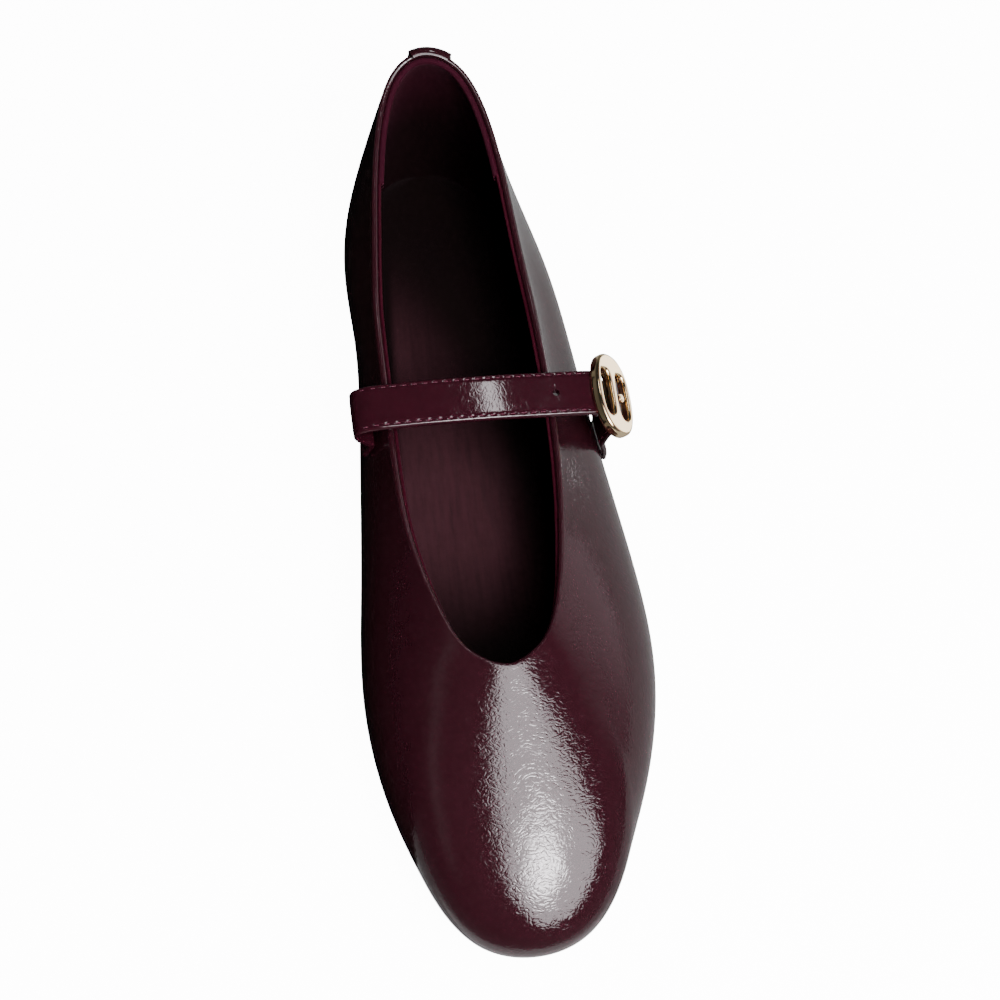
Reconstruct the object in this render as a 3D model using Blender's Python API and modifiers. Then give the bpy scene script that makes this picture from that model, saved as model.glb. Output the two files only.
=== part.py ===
"""A woman's left ballet flat with a strap over the instep and an oval buckle on its outer side.

Metres, +Z up. The toe points to -Y and the outer side of the foot is +X. The origin is the centre
of the heel's flat underside, on the floor. Tables give their lengths as shares of the named sizes:
"along" is a share of LENGTH from the back of the shoe, widths are shares of BALL_WIDTH and heights
are shares of BACK_HEIGHT.
"""

import math

import bmesh
import bpy
import numpy as np
from mathutils import Matrix, Vector

MM = 0.001

# The shoe's driving sizes
LENGTH = 248 * MM
BALL_WIDTH = 81 * MM
BACK_HEIGHT = 71 * MM
WALL = 2.2 * MM
CLEARANCE = 0.3 * MM

# Sole, heel and insole
OUTSOLE_THICKNESS = 4 * MM
OUTSOLE_EDGE = 0.6 * MM
OUTSOLE_ROUNDING = 0.9 * MM
HEEL_HEIGHT = 9 * MM
HEEL_INSET = 0.8 * MM
HEEL_TAPER = 1.2 * MM
HEEL_ROUNDING = 0.4 * MM
TOE_SPRING = 8 * MM
INSOLE_THICKNESS = 3 * MM
INSOLE_ROUNDING = 0.6 * MM
INSOLE_EASE = 0.1 * MM
HEEL_CENTRE = 0.14
HEEL_BREAST = 0.25
BALL_START = 0.615
BALL_END = 0.765

# Strap, buckle and tabs
STRAP_ALONG = 0.417
STRAP_WIDTH = 13.5 * MM
STRAP_THICKNESS = 2 * MM
STRAP_ROUNDING = 0.5 * MM
STRAP_RISE = 4.7 * MM
STRAP_STAND_OFF = 8.7 * MM
BUCKLE_LENGTH = 25 * MM
BUCKLE_WIDTH = 16 * MM
BUCKLE_THICKNESS = 3.2 * MM
BUCKLE_ROUNDING = 0.6 * MM
BUCKLE_TILT = 48
BUCKLE_REACH = 16.7 * MM
BUCKLE_DROP = 1.2 * MM
WINDOW_LENGTH = 14 * MM
WINDOW_WIDTH = 4.6 * MM
BAR_WIDTH = 2.4 * MM
PRONG_RADIUS = 1.3 * MM
PRONG_OUTWARD = 0.1 * MM
TAB_THICKNESS = 1.6 * MM
TAB_ROUNDING = 0.4 * MM
TAB_PLAY = 1 * MM
HEEL_TAB_WIDTH = 12 * MM
HEEL_TAB_THICKNESS = 0.8 * MM
HEEL_TAB_REACH = 0.16

# Where strap and tab leave the wall: share of BACK_HEIGHT, and distance off their seat
STRAP_LIFT_OFF = ((0.50, 0), (0.535, 0.1 * MM), (0.57, 0.6 * MM))
TAB_LIFT_OFF = ((0.24, 0), (0.28, 0.1 * MM), (0.33, 0.4 * MM), (0.37, 1.1 * MM))


def table(columns, *rows):
    """A table of shares, as one array for each named column."""
    return dict(zip(columns.split(), np.array(rows, float).T))


# The feather edge, where the upper meets the sole, from the back of the heel to the toe's tip
FEATHER = table(
    "along medial lateral",
    (0.028, 0.000, 0.000),
    (0.052, 0.186, 0.146),
    (0.140, 0.312, 0.318),
    (0.280, 0.299, 0.395),
    (0.430, 0.325, 0.445),
    (0.580, 0.366, 0.507),
    (0.710, 0.404, 0.512),
    (0.840, 0.331, 0.385),
    (0.925, 0.232, 0.252),
    (0.977, 0.131, 0.141),
    (0.990, -0.008, 0.008),
)

# The topline, in the same order, from the top of the back seam to the front of the throat
TOPLINE = table(
    "along medial lateral height",
    (0.009, 0.000, 0.000, 1.000),
    (0.038, 0.162, 0.133, 0.946),
    (0.197, 0.262, 0.237, 0.770),
    (0.309, 0.289, 0.268, 0.706),
    (0.437, 0.286, 0.281, 0.662),
    (0.554, 0.264, 0.255, 0.640),
    (0.637, 0.201, 0.206, 0.640),
    (0.686, 0.139, 0.146, 0.643),
    (0.703, 0.090, 0.097, 0.644),
    (0.712, 0.044, 0.053, 0.645),
    (0.716, -0.010, 0.010, 0.645),
)

# How the wall leaves the feather edge (bulge out and rise) and meets the topline (shoulder and drop)
WALL_FORM = table(
    "bulge rise shoulder drop",
    (0.074, 0.250, 0.050, 0.240),
    (0.074, 0.250, 0.040, 0.240),
    (0.074, 0.240, 0.055, 0.210),
    (0.086, 0.225, 0.060, 0.210),
    (0.099, 0.225, 0.086, 0.200),
    (0.117, 0.225, 0.136, 0.170),
    (0.123, 0.225, 0.222, 0.155),
    (0.160, 0.210, 0.333, 0.155),
    (0.185, 0.197, 0.400, 0.160),
    (0.197, 0.197, 0.440, 0.165),
    (0.197, 0.197, 0.455, 0.165),
)

# How the strap turns over the medial topline: shares of STRAP_STAND_OFF out and STRAP_RISE up
STRAP_TURN = table(
    "out rise",
    (0.62, -1.10),
    (0.92, -0.42),
    (1.00, 0.18),
    (0.85, 0.62),
    (0.40, 0.89),
)

# How it arches over the foot: shares of the opening's width from the medial side, and of STRAP_RISE
STRAP_ARCH = table(
    "across rise",
    (0.12, 0.98),
    (0.33, 1.00),
    (0.62, 0.92),
    (0.90, 0.70),
)

# How strap and tab lie under the buckle: shares of its half width from its middle, outward, and of
# the tab's thickness below their seat
STRAP_END = (-0.86, -0.62)
TAB_END = table(
    "across under",
    (0.95, 1.60),
    (0.66, 0.15),
    (0.35, 0.00),
    (0.00, 0.00),
)

# How square the buckle's rim and windows are. A true ellipse has 0.55
RIM_FULLNESS = 0.64
WINDOW_FULLNESS = 0.80

WALL_COLUMNS = 96
WALL_ROWS = 12
END_CROWDING = 0.6
DENSE = 720
DENSE_ROWS = 60
SLAB_ROWS = 36
SLAB_COLUMNS = 5
STRAP_ROWS = 36
TAB_ROWS = 16

COLOURS = {
    "patent": (0.045, 0.004, 0.011),
    "lining": (0.050, 0.008, 0.016),
    "sole": (0.012, 0.008, 0.008),
    "metal": (0.74, 0.62, 0.46),
}


def forward(along):
    """The y of a place that is this share of the length from the back."""
    return HEEL_CENTRE * LENGTH - along * LENGTH


def sole_lift(y):
    """How high the outsole's underside is above the floor: heel seat, arch, flat ball, toe spring."""
    along = HEEL_CENTRE - np.asarray(y) / LENGTH
    arch = np.clip((along - HEEL_BREAST) / (BALL_START - HEEL_BREAST), 0, 1)
    spring = np.clip((along - BALL_END) / (1 - BALL_END), 0, 1)
    return HEEL_HEIGHT * (1 - arch * arch * (3 - 2 * arch)) + TOE_SPRING * spring**2


def ring(medial, lateral):
    """One value for each knot of a closed loop: down the medial side and back up the lateral."""
    return np.concatenate([medial, lateral[-2:0:-1]])


def closed_spline(knots, values, period, at):
    """A smooth closed curve (a periodic cubic spline) through the values, read at these places."""
    count = len(knots)
    steps = np.diff(np.append(knots, knots[0] + period))
    system = np.zeros((count, count))
    slopes = np.zeros_like(values)
    for i in range(count):
        before, after = steps[i - 1], steps[i]
        system[i, i - 1] += before
        system[i, i] += 2 * (before + after)
        system[i, (i + 1) % count] += after
        rise = (values[(i + 1) % count] - values[i]) / after
        slopes[i] = 6 * (rise - (values[i] - values[i - 1]) / before)
    bend = np.linalg.solve(system, slopes)
    at = np.mod(at, period)
    low = np.clip(np.searchsorted(knots, at, side="right") - 1, 0, count - 1)
    high = (low + 1) % count
    step = steps[low][:, None]
    past = (at - knots[low])[:, None]
    left = step - past
    curve = (bend[low] * left**3 + bend[high] * past**3) / (6 * step)
    curve += (values[low] / step - bend[low] * step / 6) * left
    return curve + (values[high] / step - bend[high] * step / 6) * past


FEATHER_KNOTS = np.stack(
    [
        ring(-FEATHER["medial"], FEATHER["lateral"]) * BALL_WIDTH,
        forward(ring(FEATHER["along"], FEATHER["along"])),
    ],
    axis=1,
)
TOPLINE_KNOTS = np.stack(
    [
        ring(-TOPLINE["medial"], TOPLINE["lateral"]) * BALL_WIDTH,
        forward(ring(TOPLINE["along"], TOPLINE["along"])),
        ring(TOPLINE["height"], TOPLINE["height"]) * BACK_HEIGHT,
    ],
    axis=1,
)
FORM_KNOTS = np.stack([ring(column, column) for column in WALL_FORM.values()], axis=1)
FORM_SIZES = np.array([BALL_WIDTH, BACK_HEIGHT, BALL_WIDTH, BACK_HEIGHT])
CHORDS = np.linalg.norm(np.roll(FEATHER_KNOTS, -1, axis=0) - FEATHER_KNOTS, axis=1)
GIRTH = CHORDS.sum()
KNOTS = np.concatenate([[0], np.cumsum(CHORDS)[:-1]])


def feather(at, out=0.0):
    """The feather edge in plan, moved out by a distance, with its outward direction."""
    step = GIRTH / 2000
    ahead = closed_spline(KNOTS, FEATHER_KNOTS, GIRTH, at + step)
    along = ahead - closed_spline(KNOTS, FEATHER_KNOTS, GIRTH, at - step)
    outward = np.stack([along[:, 1], -along[:, 0]], axis=1)
    outward /= np.linalg.norm(outward, axis=1)[:, None]
    return closed_spline(KNOTS, FEATHER_KNOTS, GIRTH, at) + outward * out, outward


def wall(at, up):
    """The upper's outside, for places around the loop and shares of the way up, as a grid."""
    plan, outward = feather(at)
    base = np.column_stack([plan, sole_lift(plan[:, 1]) + OUTSOLE_THICKNESS + CLEARANCE])
    top = closed_spline(KNOTS, TOPLINE_KNOTS, GIRTH, at)
    form = closed_spline(KNOTS, FORM_KNOTS, GIRTH, at) * FORM_SIZES
    outward = np.column_stack([outward, np.zeros(len(at))])
    upward = np.array([0.0, 0.0, 1.0])
    lower = base + outward * form[:, :1] + upward * form[:, 1:2]
    upper = top + outward * form[:, 2:3] - upward * form[:, 3:]
    t = np.asarray(up)[None, :, None]
    grid = (1 - t) ** 3 * base[:, None] + 3 * (1 - t) ** 2 * t * lower[:, None]
    return grid + 3 * (1 - t) * t**2 * upper[:, None] + t**3 * top[:, None]


DENSE_AT = np.linspace(0, GIRTH, DENSE, endpoint=False)
DENSE_WALL = np.swapaxes(wall(DENSE_AT, np.linspace(0, 1, DENSE_ROWS)), 0, 1)


def wall_section(side, y):
    """The x and z of the upper's outside where a plane across the shoe cuts one side of it."""
    points = []
    for row in DENSE_WALL:
        half = row[np.sign(row[:, 0]) == side]
        half = half[np.argsort(half[:, 1])]
        points.append([np.interp(y, half[:, 1], half[:, 0]), np.interp(y, half[:, 1], half[:, 2])])
    return np.array(points)


def smooth_path(points, count):
    """Even steps along a smooth open curve through the points."""
    points = np.asarray(points, float)
    fine = []
    ends = np.concatenate([[2 * points[0] - points[1]], points, [2 * points[-1] - points[-2]]])
    for a, b, c, d in zip(ends, ends[1:], ends[2:], ends[3:]):
        square, cube = 2 * a - 5 * b + 4 * c - d, 3 * b - a - 3 * c + d
        for t in np.linspace(0, 1, 24, endpoint=False):
            fine.append(0.5 * (2 * b + (c - a) * t + square * t**2 + cube * t**3))
    fine = np.array(fine + [points[-1]])
    run = np.concatenate([[0], np.cumsum(np.linalg.norm(np.diff(fine, axis=0), axis=1))])
    even = np.linspace(0, run[-1], count)
    return np.stack([np.interp(even, run, fine[:, axis]) for axis in (0, 1)], axis=1)


def clear_scene():
    for thing in list(bpy.data.objects):
        bpy.data.objects.remove(thing)


def material(name, colour, roughness, metallic=0.0):
    made = bpy.data.materials.new(name)
    made.use_nodes = True
    shader = made.node_tree.nodes["Principled BSDF"]
    shader.inputs["Base Color"].default_value = (*colour, 1)
    shader.inputs["Roughness"].default_value = roughness
    shader.inputs["Metallic"].default_value = metallic
    made.diffuse_color = (*colour, 1)
    return made


def add(name, points, faces, surface):
    """A named object of the part from points and faces."""
    mesh = bpy.data.meshes.new(name)
    mesh.from_pydata([tuple(point) for point in points], [], faces)
    mesh.validate()
    made = bpy.data.objects.new(name, mesh)
    mesh.materials.append(surface)
    mesh.shade_smooth()
    mesh.set_sharp_from_angle(angle=math.radians(40))
    PART.objects.link(made)
    return made


def grid_faces(rows, columns, closed=False, first=0):
    """Quads between the rows and columns of a grid, which may close on itself along its rows."""
    faces = []
    for i in range(rows if closed else rows - 1):
        here, there = first + i * columns, first + (i + 1) % rows * columns
        faces += [(here + j, there + j, there + j + 1, here + j + 1) for j in range(columns - 1)]
    return faces


def thicken(made, thickness, offset):
    """Gives an open surface its thickness. Offset -1 grows it against its faces, and 0 both ways."""
    solid = made.modifiers.new("thickness", "SOLIDIFY")
    solid.thickness = thickness
    solid.offset = offset
    solid.use_even_offset = True
    return solid


def outline_halves(out):
    """The feather outline moved out, as its medial and lateral halves from the toe to the heel."""
    plan, _ = feather(DENSE_AT, out)
    back, tip = np.argmax(plan[:, 1]), np.argmin(plan[:, 1])
    plan = np.roll(plan, -back, axis=0)
    tip = (tip - back) % DENSE
    return plan[: tip + 1][::-1], np.concatenate([plan[tip:], plan[:1]])


def slab_layer(out, height, front):
    """A grid across the sole at one level. Its rows crowd together where its ends are round."""
    medial, lateral = outline_halves(out)
    start, stop = medial[0, 1] if front is None else front, medial[-1, 1]
    share = (1 - np.cos(np.linspace(0.06, math.pi - 0.06, SLAB_ROWS))) / 2
    rows = start + (stop - start) * share
    left = np.interp(rows, medial[:, 1], medial[:, 0])
    right = np.interp(rows, lateral[:, 1], lateral[:, 0])
    across = np.linspace(0, 1, SLAB_COLUMNS)
    x = left[:, None] + (right - left)[:, None] * across
    y = np.repeat(rows[:, None], SLAB_COLUMNS, axis=1)
    return np.stack([x, y, height(y)], axis=2)


def slab(name, layers, surface, front=None):
    """A closed solid through grids of the sole's outline, from its lowest layer to its highest."""
    grids = []
    for out, inset, height in layers:
        grids.append(slab_layer(out, height, None if front is None else front + inset))
    size = SLAB_ROWS * SLAB_COLUMNS
    points = np.concatenate([grid.reshape(-1, 3) for grid in grids])
    faces = [face[::-1] for face in grid_faces(SLAB_ROWS, SLAB_COLUMNS)]
    faces += grid_faces(SLAB_ROWS, SLAB_COLUMNS, first=(len(grids) - 1) * size)
    index = np.arange(size).reshape(SLAB_ROWS, SLAB_COLUMNS)
    edge = np.concatenate([index[0, :-1], index[:-1, -1], index[-1, :0:-1], index[:0:-1, 0]])
    for level in range(len(grids) - 1):
        low, high = edge + level * size, edge + (level + 1) * size
        for a, b, c, d in zip(low, np.roll(low, -1), np.roll(high, -1), high):
            faces.append((int(a), int(b), int(c), int(d)))
    made = add(name, points, faces, surface)
    return face_outward(made)


def face_outward(made):
    """Turns every face of a closed mesh to face out, and drops the points that no face uses."""
    work = bmesh.new()
    work.from_mesh(made.data)
    bmesh.ops.delete(work, geom=[point for point in work.verts if not point.link_faces], context="VERTS")
    bmesh.ops.recalc_face_normals(work, faces=work.faces)
    work.to_mesh(made.data)
    work.free()
    return made


def make_upper(surface):
    """The lasted shell: a wall of one thickness, its columns closer together at heel and toe."""
    share = np.arange(WALL_COLUMNS) / WALL_COLUMNS
    at = GIRTH * (share - END_CROWDING * np.sin(4 * math.pi * share) / (4 * math.pi))
    grid = wall(at, np.linspace(0, 1, WALL_ROWS))
    faces = grid_faces(WALL_COLUMNS, WALL_ROWS, closed=True)
    thicken(add("upper", grid.reshape(-1, 3), faces, surface), WALL, -1)


def make_outsole(surface):
    """A thin sole with a rounded edge, flat under the ball and lifted at heel, arch and toe."""
    r = OUTSOLE_ROUNDING
    top = OUTSOLE_THICKNESS
    layers = (
        (OUTSOLE_EDGE - r, 0, sole_lift),
        (OUTSOLE_EDGE - 0.3 * r, 0, lambda y: sole_lift(y) + 0.3 * r),
        (OUTSOLE_EDGE, 0, lambda y: sole_lift(y) + r),
        (OUTSOLE_EDGE, 0, lambda y: sole_lift(y) + top - 0.4 * r),
        (OUTSOLE_EDGE - 0.4 * r, 0, lambda y: sole_lift(y) + top),
    )
    slab("outsole", layers, surface)


def make_heel(surface):
    """The low heel block, which narrows a little toward the floor."""
    r = HEEL_ROUNDING
    high = HEEL_HEIGHT - CLEARANCE
    rim = OUTSOLE_EDGE - HEEL_INSET
    breast = forward(HEEL_BREAST)
    layers = (
        (rim - HEEL_TAPER - r, 2 * r, lambda y: 0 * y),
        (rim - HEEL_TAPER, r, lambda y: 0 * y + r),
        (rim, 0, lambda y: 0 * y + high),
    )
    slab("heel", layers, surface, front=breast)


def make_insole(surface):
    """The covered footbed inside the wall."""
    inside = -WALL - CLEARANCE - INSOLE_EASE
    low = OUTSOLE_THICKNESS + CLEARANCE
    high = low + INSOLE_THICKNESS
    layers = (
        (inside, 0, lambda y: sole_lift(y) + low),
        (inside, 0, lambda y: sole_lift(y) + high - INSOLE_ROUNDING),
        (inside - INSOLE_ROUNDING, 0, lambda y: sole_lift(y) + high),
    )
    slab("insole", layers, surface)


def make_heel_tab(surface):
    """The strip folded over the topline at the back seam, clear of the wall by the clearance."""
    half = HEEL_TAB_WIDTH / 2
    at = np.linspace(-half, half, 9)
    rows_up = np.linspace(1 - HEEL_TAB_REACH, 1, 6)
    outside = wall(at, rows_up)
    below = wall(at, rows_up - HEEL_TAB_REACH / 4)
    up = outside - below
    up /= np.linalg.norm(up, axis=2)[:, :, None]
    round_ = np.roll(outside, -1, axis=0) - np.roll(outside, 1, axis=0)
    round_[0], round_[-1] = outside[1] - outside[0], outside[-1] - outside[-2]
    normal = np.cross(round_, up)
    normal /= np.linalg.norm(normal, axis=2)[:, :, None]
    skin = outside + normal * CLEARANCE
    lining = outside - normal * (WALL + CLEARANCE)
    rim, lift, out = outside[:, -1], up[:, -1], normal[:, -1]
    radius = WALL / 2 + CLEARANCE
    middle = rim - out * WALL / 2
    turns = [math.radians(angle) for angle in (20, 50, 90, 130, 160)]
    bend = [middle + out * radius * math.cos(turn) + lift * radius * math.sin(turn) for turn in turns]
    rows = [skin[:, i] for i in range(6)] + bend + [lining[:, i] for i in (5, 4, 3)]
    grid = np.stack(rows, axis=1)
    made = add("heel_tab", grid.reshape(-1, 3), grid_faces(len(at), len(rows)), surface)
    thicken(made, HEEL_TAB_THICKNESS, 1)


def buckle_frame():
    """The buckle's middle, the direction across it and the direction it faces, in x and z."""
    lateral = wall_section(1, forward(STRAP_ALONG))[-1]
    tilt = math.radians(BUCKLE_TILT)
    across = np.array([math.cos(tilt), -math.sin(tilt)])
    facing = np.array([math.sin(tilt), math.cos(tilt)])
    return lateral + np.array([BUCKLE_REACH, -BUCKLE_DROP]), across, facing


def band(name, route, steps, width, thickness, rounding, surface):
    """A band of even width. Its route gives the points, in x and z, of its path across the shoe."""
    places = forward(STRAP_ALONG) + width * np.linspace(-0.5, 0.5, 4)
    paths = [smooth_path(route(y), steps) for y in places]
    rows = [np.column_stack([path[:, 0], np.full(steps, y), path[:, 1]]) for path, y in zip(paths, places)]
    grid = np.stack(rows, axis=1)
    made = add(name, grid.reshape(-1, 3), grid_faces(steps, len(places)), surface)
    thicken(made, thickness, 0)
    edge = made.modifiers.new("edge", "BEVEL")
    edge.width = rounding
    edge.segments = 2
    edge.limit_method = "ANGLE"
    edge.angle_limit = math.radians(60)
    return made


def beside_wall(side, y, seat, places_up):
    """Places beside the wall: for each its share of the height and its distance past the seat."""
    x, z = wall_section(side, y).T
    lean = np.gradient(x, z)
    places = []
    for share, off in places_up:
        height = share * BACK_HEIGHT
        out = side * np.array([1, -np.interp(height, z, lean)])
        places.append((np.interp(height, z, x), height) + (seat + off) * out / np.linalg.norm(out))
    return places


def make_strap(surface):
    """Sewn under the medial topline, it turns over it and runs to the buckle's inner rim."""
    medial = wall_section(-1, forward(STRAP_ALONG))[-1]
    lateral = wall_section(1, forward(STRAP_ALONG))[-1]
    seat = CLEARANCE + STRAP_THICKNESS / 2
    middle, across, facing = buckle_frame()
    under = middle - facing * (BUCKLE_THICKNESS / 2 + seat)
    inner = BUCKLE_WIDTH / 2
    span = lateral[0] - medial[0]
    turn = [
        medial + (-out * STRAP_STAND_OFF, rise * STRAP_RISE)
        for out, rise in zip(*STRAP_TURN.values())
    ]
    arch = [
        medial + (share * span, rise * STRAP_RISE)
        for share, rise in zip(*STRAP_ARCH.values())
    ]
    end = [under + across * share * inner for share in STRAP_END]

    def route(y):
        return beside_wall(-1, y, seat, STRAP_LIFT_OFF) + turn + arch + end

    band("strap", route, STRAP_ROWS, STRAP_WIDTH, STRAP_THICKNESS, STRAP_ROUNDING, surface)


def make_buckle_tab(surface):
    """Sewn low on the lateral wall, it rises behind the buckle's outer window to the bar."""
    middle, across, facing = buckle_frame()
    seat = CLEARANCE + TAB_THICKNESS / 2
    under = middle - facing * (BUCKLE_THICKNESS / 2 + seat)
    inner = BUCKLE_WIDTH / 2
    rise = [
        under + across * share * inner - facing * low * TAB_THICKNESS
        for share, low in zip(*TAB_END.values())
    ]

    def route(y):
        return beside_wall(1, y, seat, TAB_LIFT_OFF) + rise

    width = WINDOW_LENGTH - 2 * TAB_PLAY
    band("buckle_tab", route, TAB_ROWS, width, TAB_THICKNESS, TAB_ROUNDING, surface)


def oval(curve, half_width, half_length, centre, fullness):
    """A closed four-point spline in the curve's plane. Fullness is its handles' share of the size."""
    spline = curve.splines.new("BEZIER")
    spline.bezier_points.add(3)
    spline.use_cyclic_u = True
    corners = ((1, 0), (0, 1), (-1, 0), (0, -1))
    for point, (x, y) in zip(spline.bezier_points, corners):
        place = Vector((centre + x * half_width, y * half_length, 0))
        handle = Vector((-y * half_width, x * half_length, 0)) * fullness
        point.co = place
        point.handle_left = place - handle
        point.handle_right = place + handle
    return spline


def buckle_matrix():
    """From the buckle's own plane, x across it and z out of its face, to the shoe."""
    middle, across, facing = buckle_frame()
    x = Vector((across[0], 0, across[1]))
    z = Vector((facing[0], 0, facing[1]))
    turn = Matrix((x, z.cross(x), z)).transposed().to_4x4()
    return Matrix.Translation((middle[0], forward(STRAP_ALONG), middle[1])) @ turn


def make_buckle(surface):
    """A cast oval with two windows and the bar between them."""
    curve = bpy.data.curves.new("buckle", "CURVE")
    curve.dimensions = "2D"
    curve.fill_mode = "BOTH"
    curve.resolution_u = 7
    curve.bevel_depth = BUCKLE_ROUNDING
    curve.bevel_resolution = 1
    curve.extrude = BUCKLE_THICKNESS / 2 - BUCKLE_ROUNDING
    curve.offset = -BUCKLE_ROUNDING
    oval(curve, BUCKLE_WIDTH / 2, BUCKLE_LENGTH / 2, 0, RIM_FULLNESS)
    shift = (BAR_WIDTH + WINDOW_WIDTH) / 2
    for side in (-1, 1):
        oval(curve, WINDOW_WIDTH / 2, WINDOW_LENGTH / 2, side * shift, WINDOW_FULLNESS)
    curve.materials.append(surface)
    made = bpy.data.objects.new("buckle", curve)
    made.matrix_world = buckle_matrix()
    PART.objects.link(made)


def make_prong(surface):
    """The stud that stands in the outer window and holds the tab."""
    low = -BUCKLE_THICKNESS / 2
    high = 0.2 * BUCKLE_THICKNESS
    centre = (BAR_WIDTH + WINDOW_WIDTH) / 2 + PRONG_OUTWARD
    bpy.ops.mesh.primitive_cylinder_add(vertices=16, radius=PRONG_RADIUS, depth=high - low)
    made = bpy.context.active_object
    made.name = made.data.name = "prong"
    made.data.transform(Matrix.Translation((centre, 0, (low + high) / 2)))
    made.data.materials.append(surface)
    for owner in made.users_collection:
        owner.objects.unlink(made)
    PART.objects.link(made)
    made.matrix_world = buckle_matrix()
    edge = made.modifiers.new("edge", "BEVEL")
    edge.width = 0.3 * PRONG_RADIUS
    edge.segments = 2
    edge.limit_method = "ANGLE"


clear_scene()
PART = bpy.data.collections.new("ballet_flat")
bpy.context.scene.collection.children.link(PART)
PATENT = material("patent leather", COLOURS["patent"], 0.12)
LINING = material("lining leather", COLOURS["lining"], 0.6)
SOLE = material("sole rubber", COLOURS["sole"], 0.6)
METAL = material("pale gold metal", COLOURS["metal"], 0.15, 1.0)

make_upper(PATENT)
make_heel_tab(PATENT)
make_outsole(SOLE)
make_heel(SOLE)
make_insole(LINING)
make_strap(PATENT)
make_buckle_tab(PATENT)
make_buckle(METAL)
make_prong(METAL)
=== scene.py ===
# %% [markdown]
# # A ballet flat in crinkled patent leather
#
# The shoe is a low women's flat in dark burgundy, with an open throat, one strap over the instep
# and an oval buckle of pale gold. It is a left shoe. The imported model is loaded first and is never
# moved. The pieces below are laid over it, in metres, with the toe toward -Y, the outer side of
# the foot toward +X and the floor at Z = 0.

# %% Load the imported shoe
import math

import bpy
import numpy as np
from mathutils import Matrix, Vector


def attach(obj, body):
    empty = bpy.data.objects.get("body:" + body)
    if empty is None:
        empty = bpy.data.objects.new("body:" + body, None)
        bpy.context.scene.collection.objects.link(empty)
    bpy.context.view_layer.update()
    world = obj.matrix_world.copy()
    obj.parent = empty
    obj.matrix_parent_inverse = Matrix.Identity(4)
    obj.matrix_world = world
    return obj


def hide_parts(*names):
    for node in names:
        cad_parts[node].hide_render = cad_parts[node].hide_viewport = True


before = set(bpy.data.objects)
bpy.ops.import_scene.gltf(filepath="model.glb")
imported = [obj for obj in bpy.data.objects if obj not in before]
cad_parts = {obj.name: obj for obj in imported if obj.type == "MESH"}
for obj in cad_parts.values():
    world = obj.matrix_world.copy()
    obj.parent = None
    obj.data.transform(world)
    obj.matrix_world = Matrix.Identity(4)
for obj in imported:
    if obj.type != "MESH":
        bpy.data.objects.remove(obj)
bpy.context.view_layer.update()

MM = 0.001
print("nodes:", ", ".join(sorted(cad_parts)))

# %% [markdown]
# ## The camera
#
# The photograph looks down on the toe from about 66 degrees, with the heel at the top of the
# frame. A long lens at some 0.6 m keeps the toe only a little larger than the heel. The camera is
# aimed at the middle of the shoe and rolled, so that the shoe stands as upright as in the
# photograph.

# %% Place the camera
CAMERA_PLACE = Vector((-61.6, -312.3, 548.8)) * MM
CAMERA_AIM = Vector((6.5, -89.8, 30.0)) * MM
CAMERA_ROLL = 10.12
CAMERA_LENS = 73.5

bpy.ops.object.camera_add(location=CAMERA_PLACE)
camera = bpy.context.active_object
look = (CAMERA_AIM - CAMERA_PLACE).to_track_quat("-Z", "Y")
roll = Matrix.Rotation(math.radians(CAMERA_ROLL), 4, "Z")
camera.matrix_world = Matrix.Translation(CAMERA_PLACE) @ look.to_matrix().to_4x4() @ roll
camera.data.sensor_width = 36
camera.data.lens = CAMERA_LENS
camera.data.clip_start = 0.01
bpy.context.scene.camera = camera
print("camera distance in mm:", round((CAMERA_AIM - CAMERA_PLACE).length / MM))

# %% [markdown]
# ## Colours and nodes
#
# Colours are picked as hex values, which are sRGB. Blender's nodes want linear light, so one
# function turns them. Another adds a node and sets it, and a third one feeds a node's inputs.


# %% Helpers for materials
def linear(hex_colour):
    """An sRGB hex colour as linear red, green, blue and alpha."""
    parts = [int(hex_colour[i : i + 2], 16) / 255 for i in (1, 3, 5)]
    return [p / 12.92 if p <= 0.04045 else ((p + 0.055) / 1.055) ** 2.4 for p in parts] + [1.0]


def feed(tree, made, inputs):
    """Gives a node's inputs their values, or links from other nodes."""
    for name, value in inputs.items():
        if isinstance(value, bpy.types.NodeSocket):
            tree.links.new(value, made.inputs[name])
        else:
            made.inputs[name].default_value = value


def node(tree, kind, inputs=None, **settings):
    """Adds a node, sets its own settings and feeds its inputs."""
    made = tree.nodes.new("ShaderNode" + kind)
    for name, value in settings.items():
        setattr(made, name, value)
    feed(tree, made, inputs or {})
    return made


def finish(name):
    """A new material, with its node tree and its shader."""
    made = bpy.data.materials.new(name)
    made.use_nodes = True
    return made, made.node_tree, made.node_tree.nodes["Principled BSDF"]


# %% [markdown]
# ## Patent leather
#
# Patent leather is split leather under a thick clear polyurethane film. This one was crumpled
# while the film set, so fine wavy creases cross its gloss, a little over half a millimetre apart.
# They break a highlight's edge into short dashes and draw thin dark lines inside it. The burgundy
# comes from the base, which is matt, and the film is a clear coat of IOR 1.5 that is nearly a
# mirror. The creases are the narrow valleys of a noise that is packed tighter along the shoe than
# across it and bent by a second, slower noise.


# %% Make the patent leather
WRINKLE_PITCH = 0.68 * MM
WRINKLE_BEND = 5 * MM
BEND_REACH = 3.5 * MM
SWELL_PITCH = 6 * MM
VALLEY_WIDTH = 0.15
SHORT_SHARE = 0.45


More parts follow.
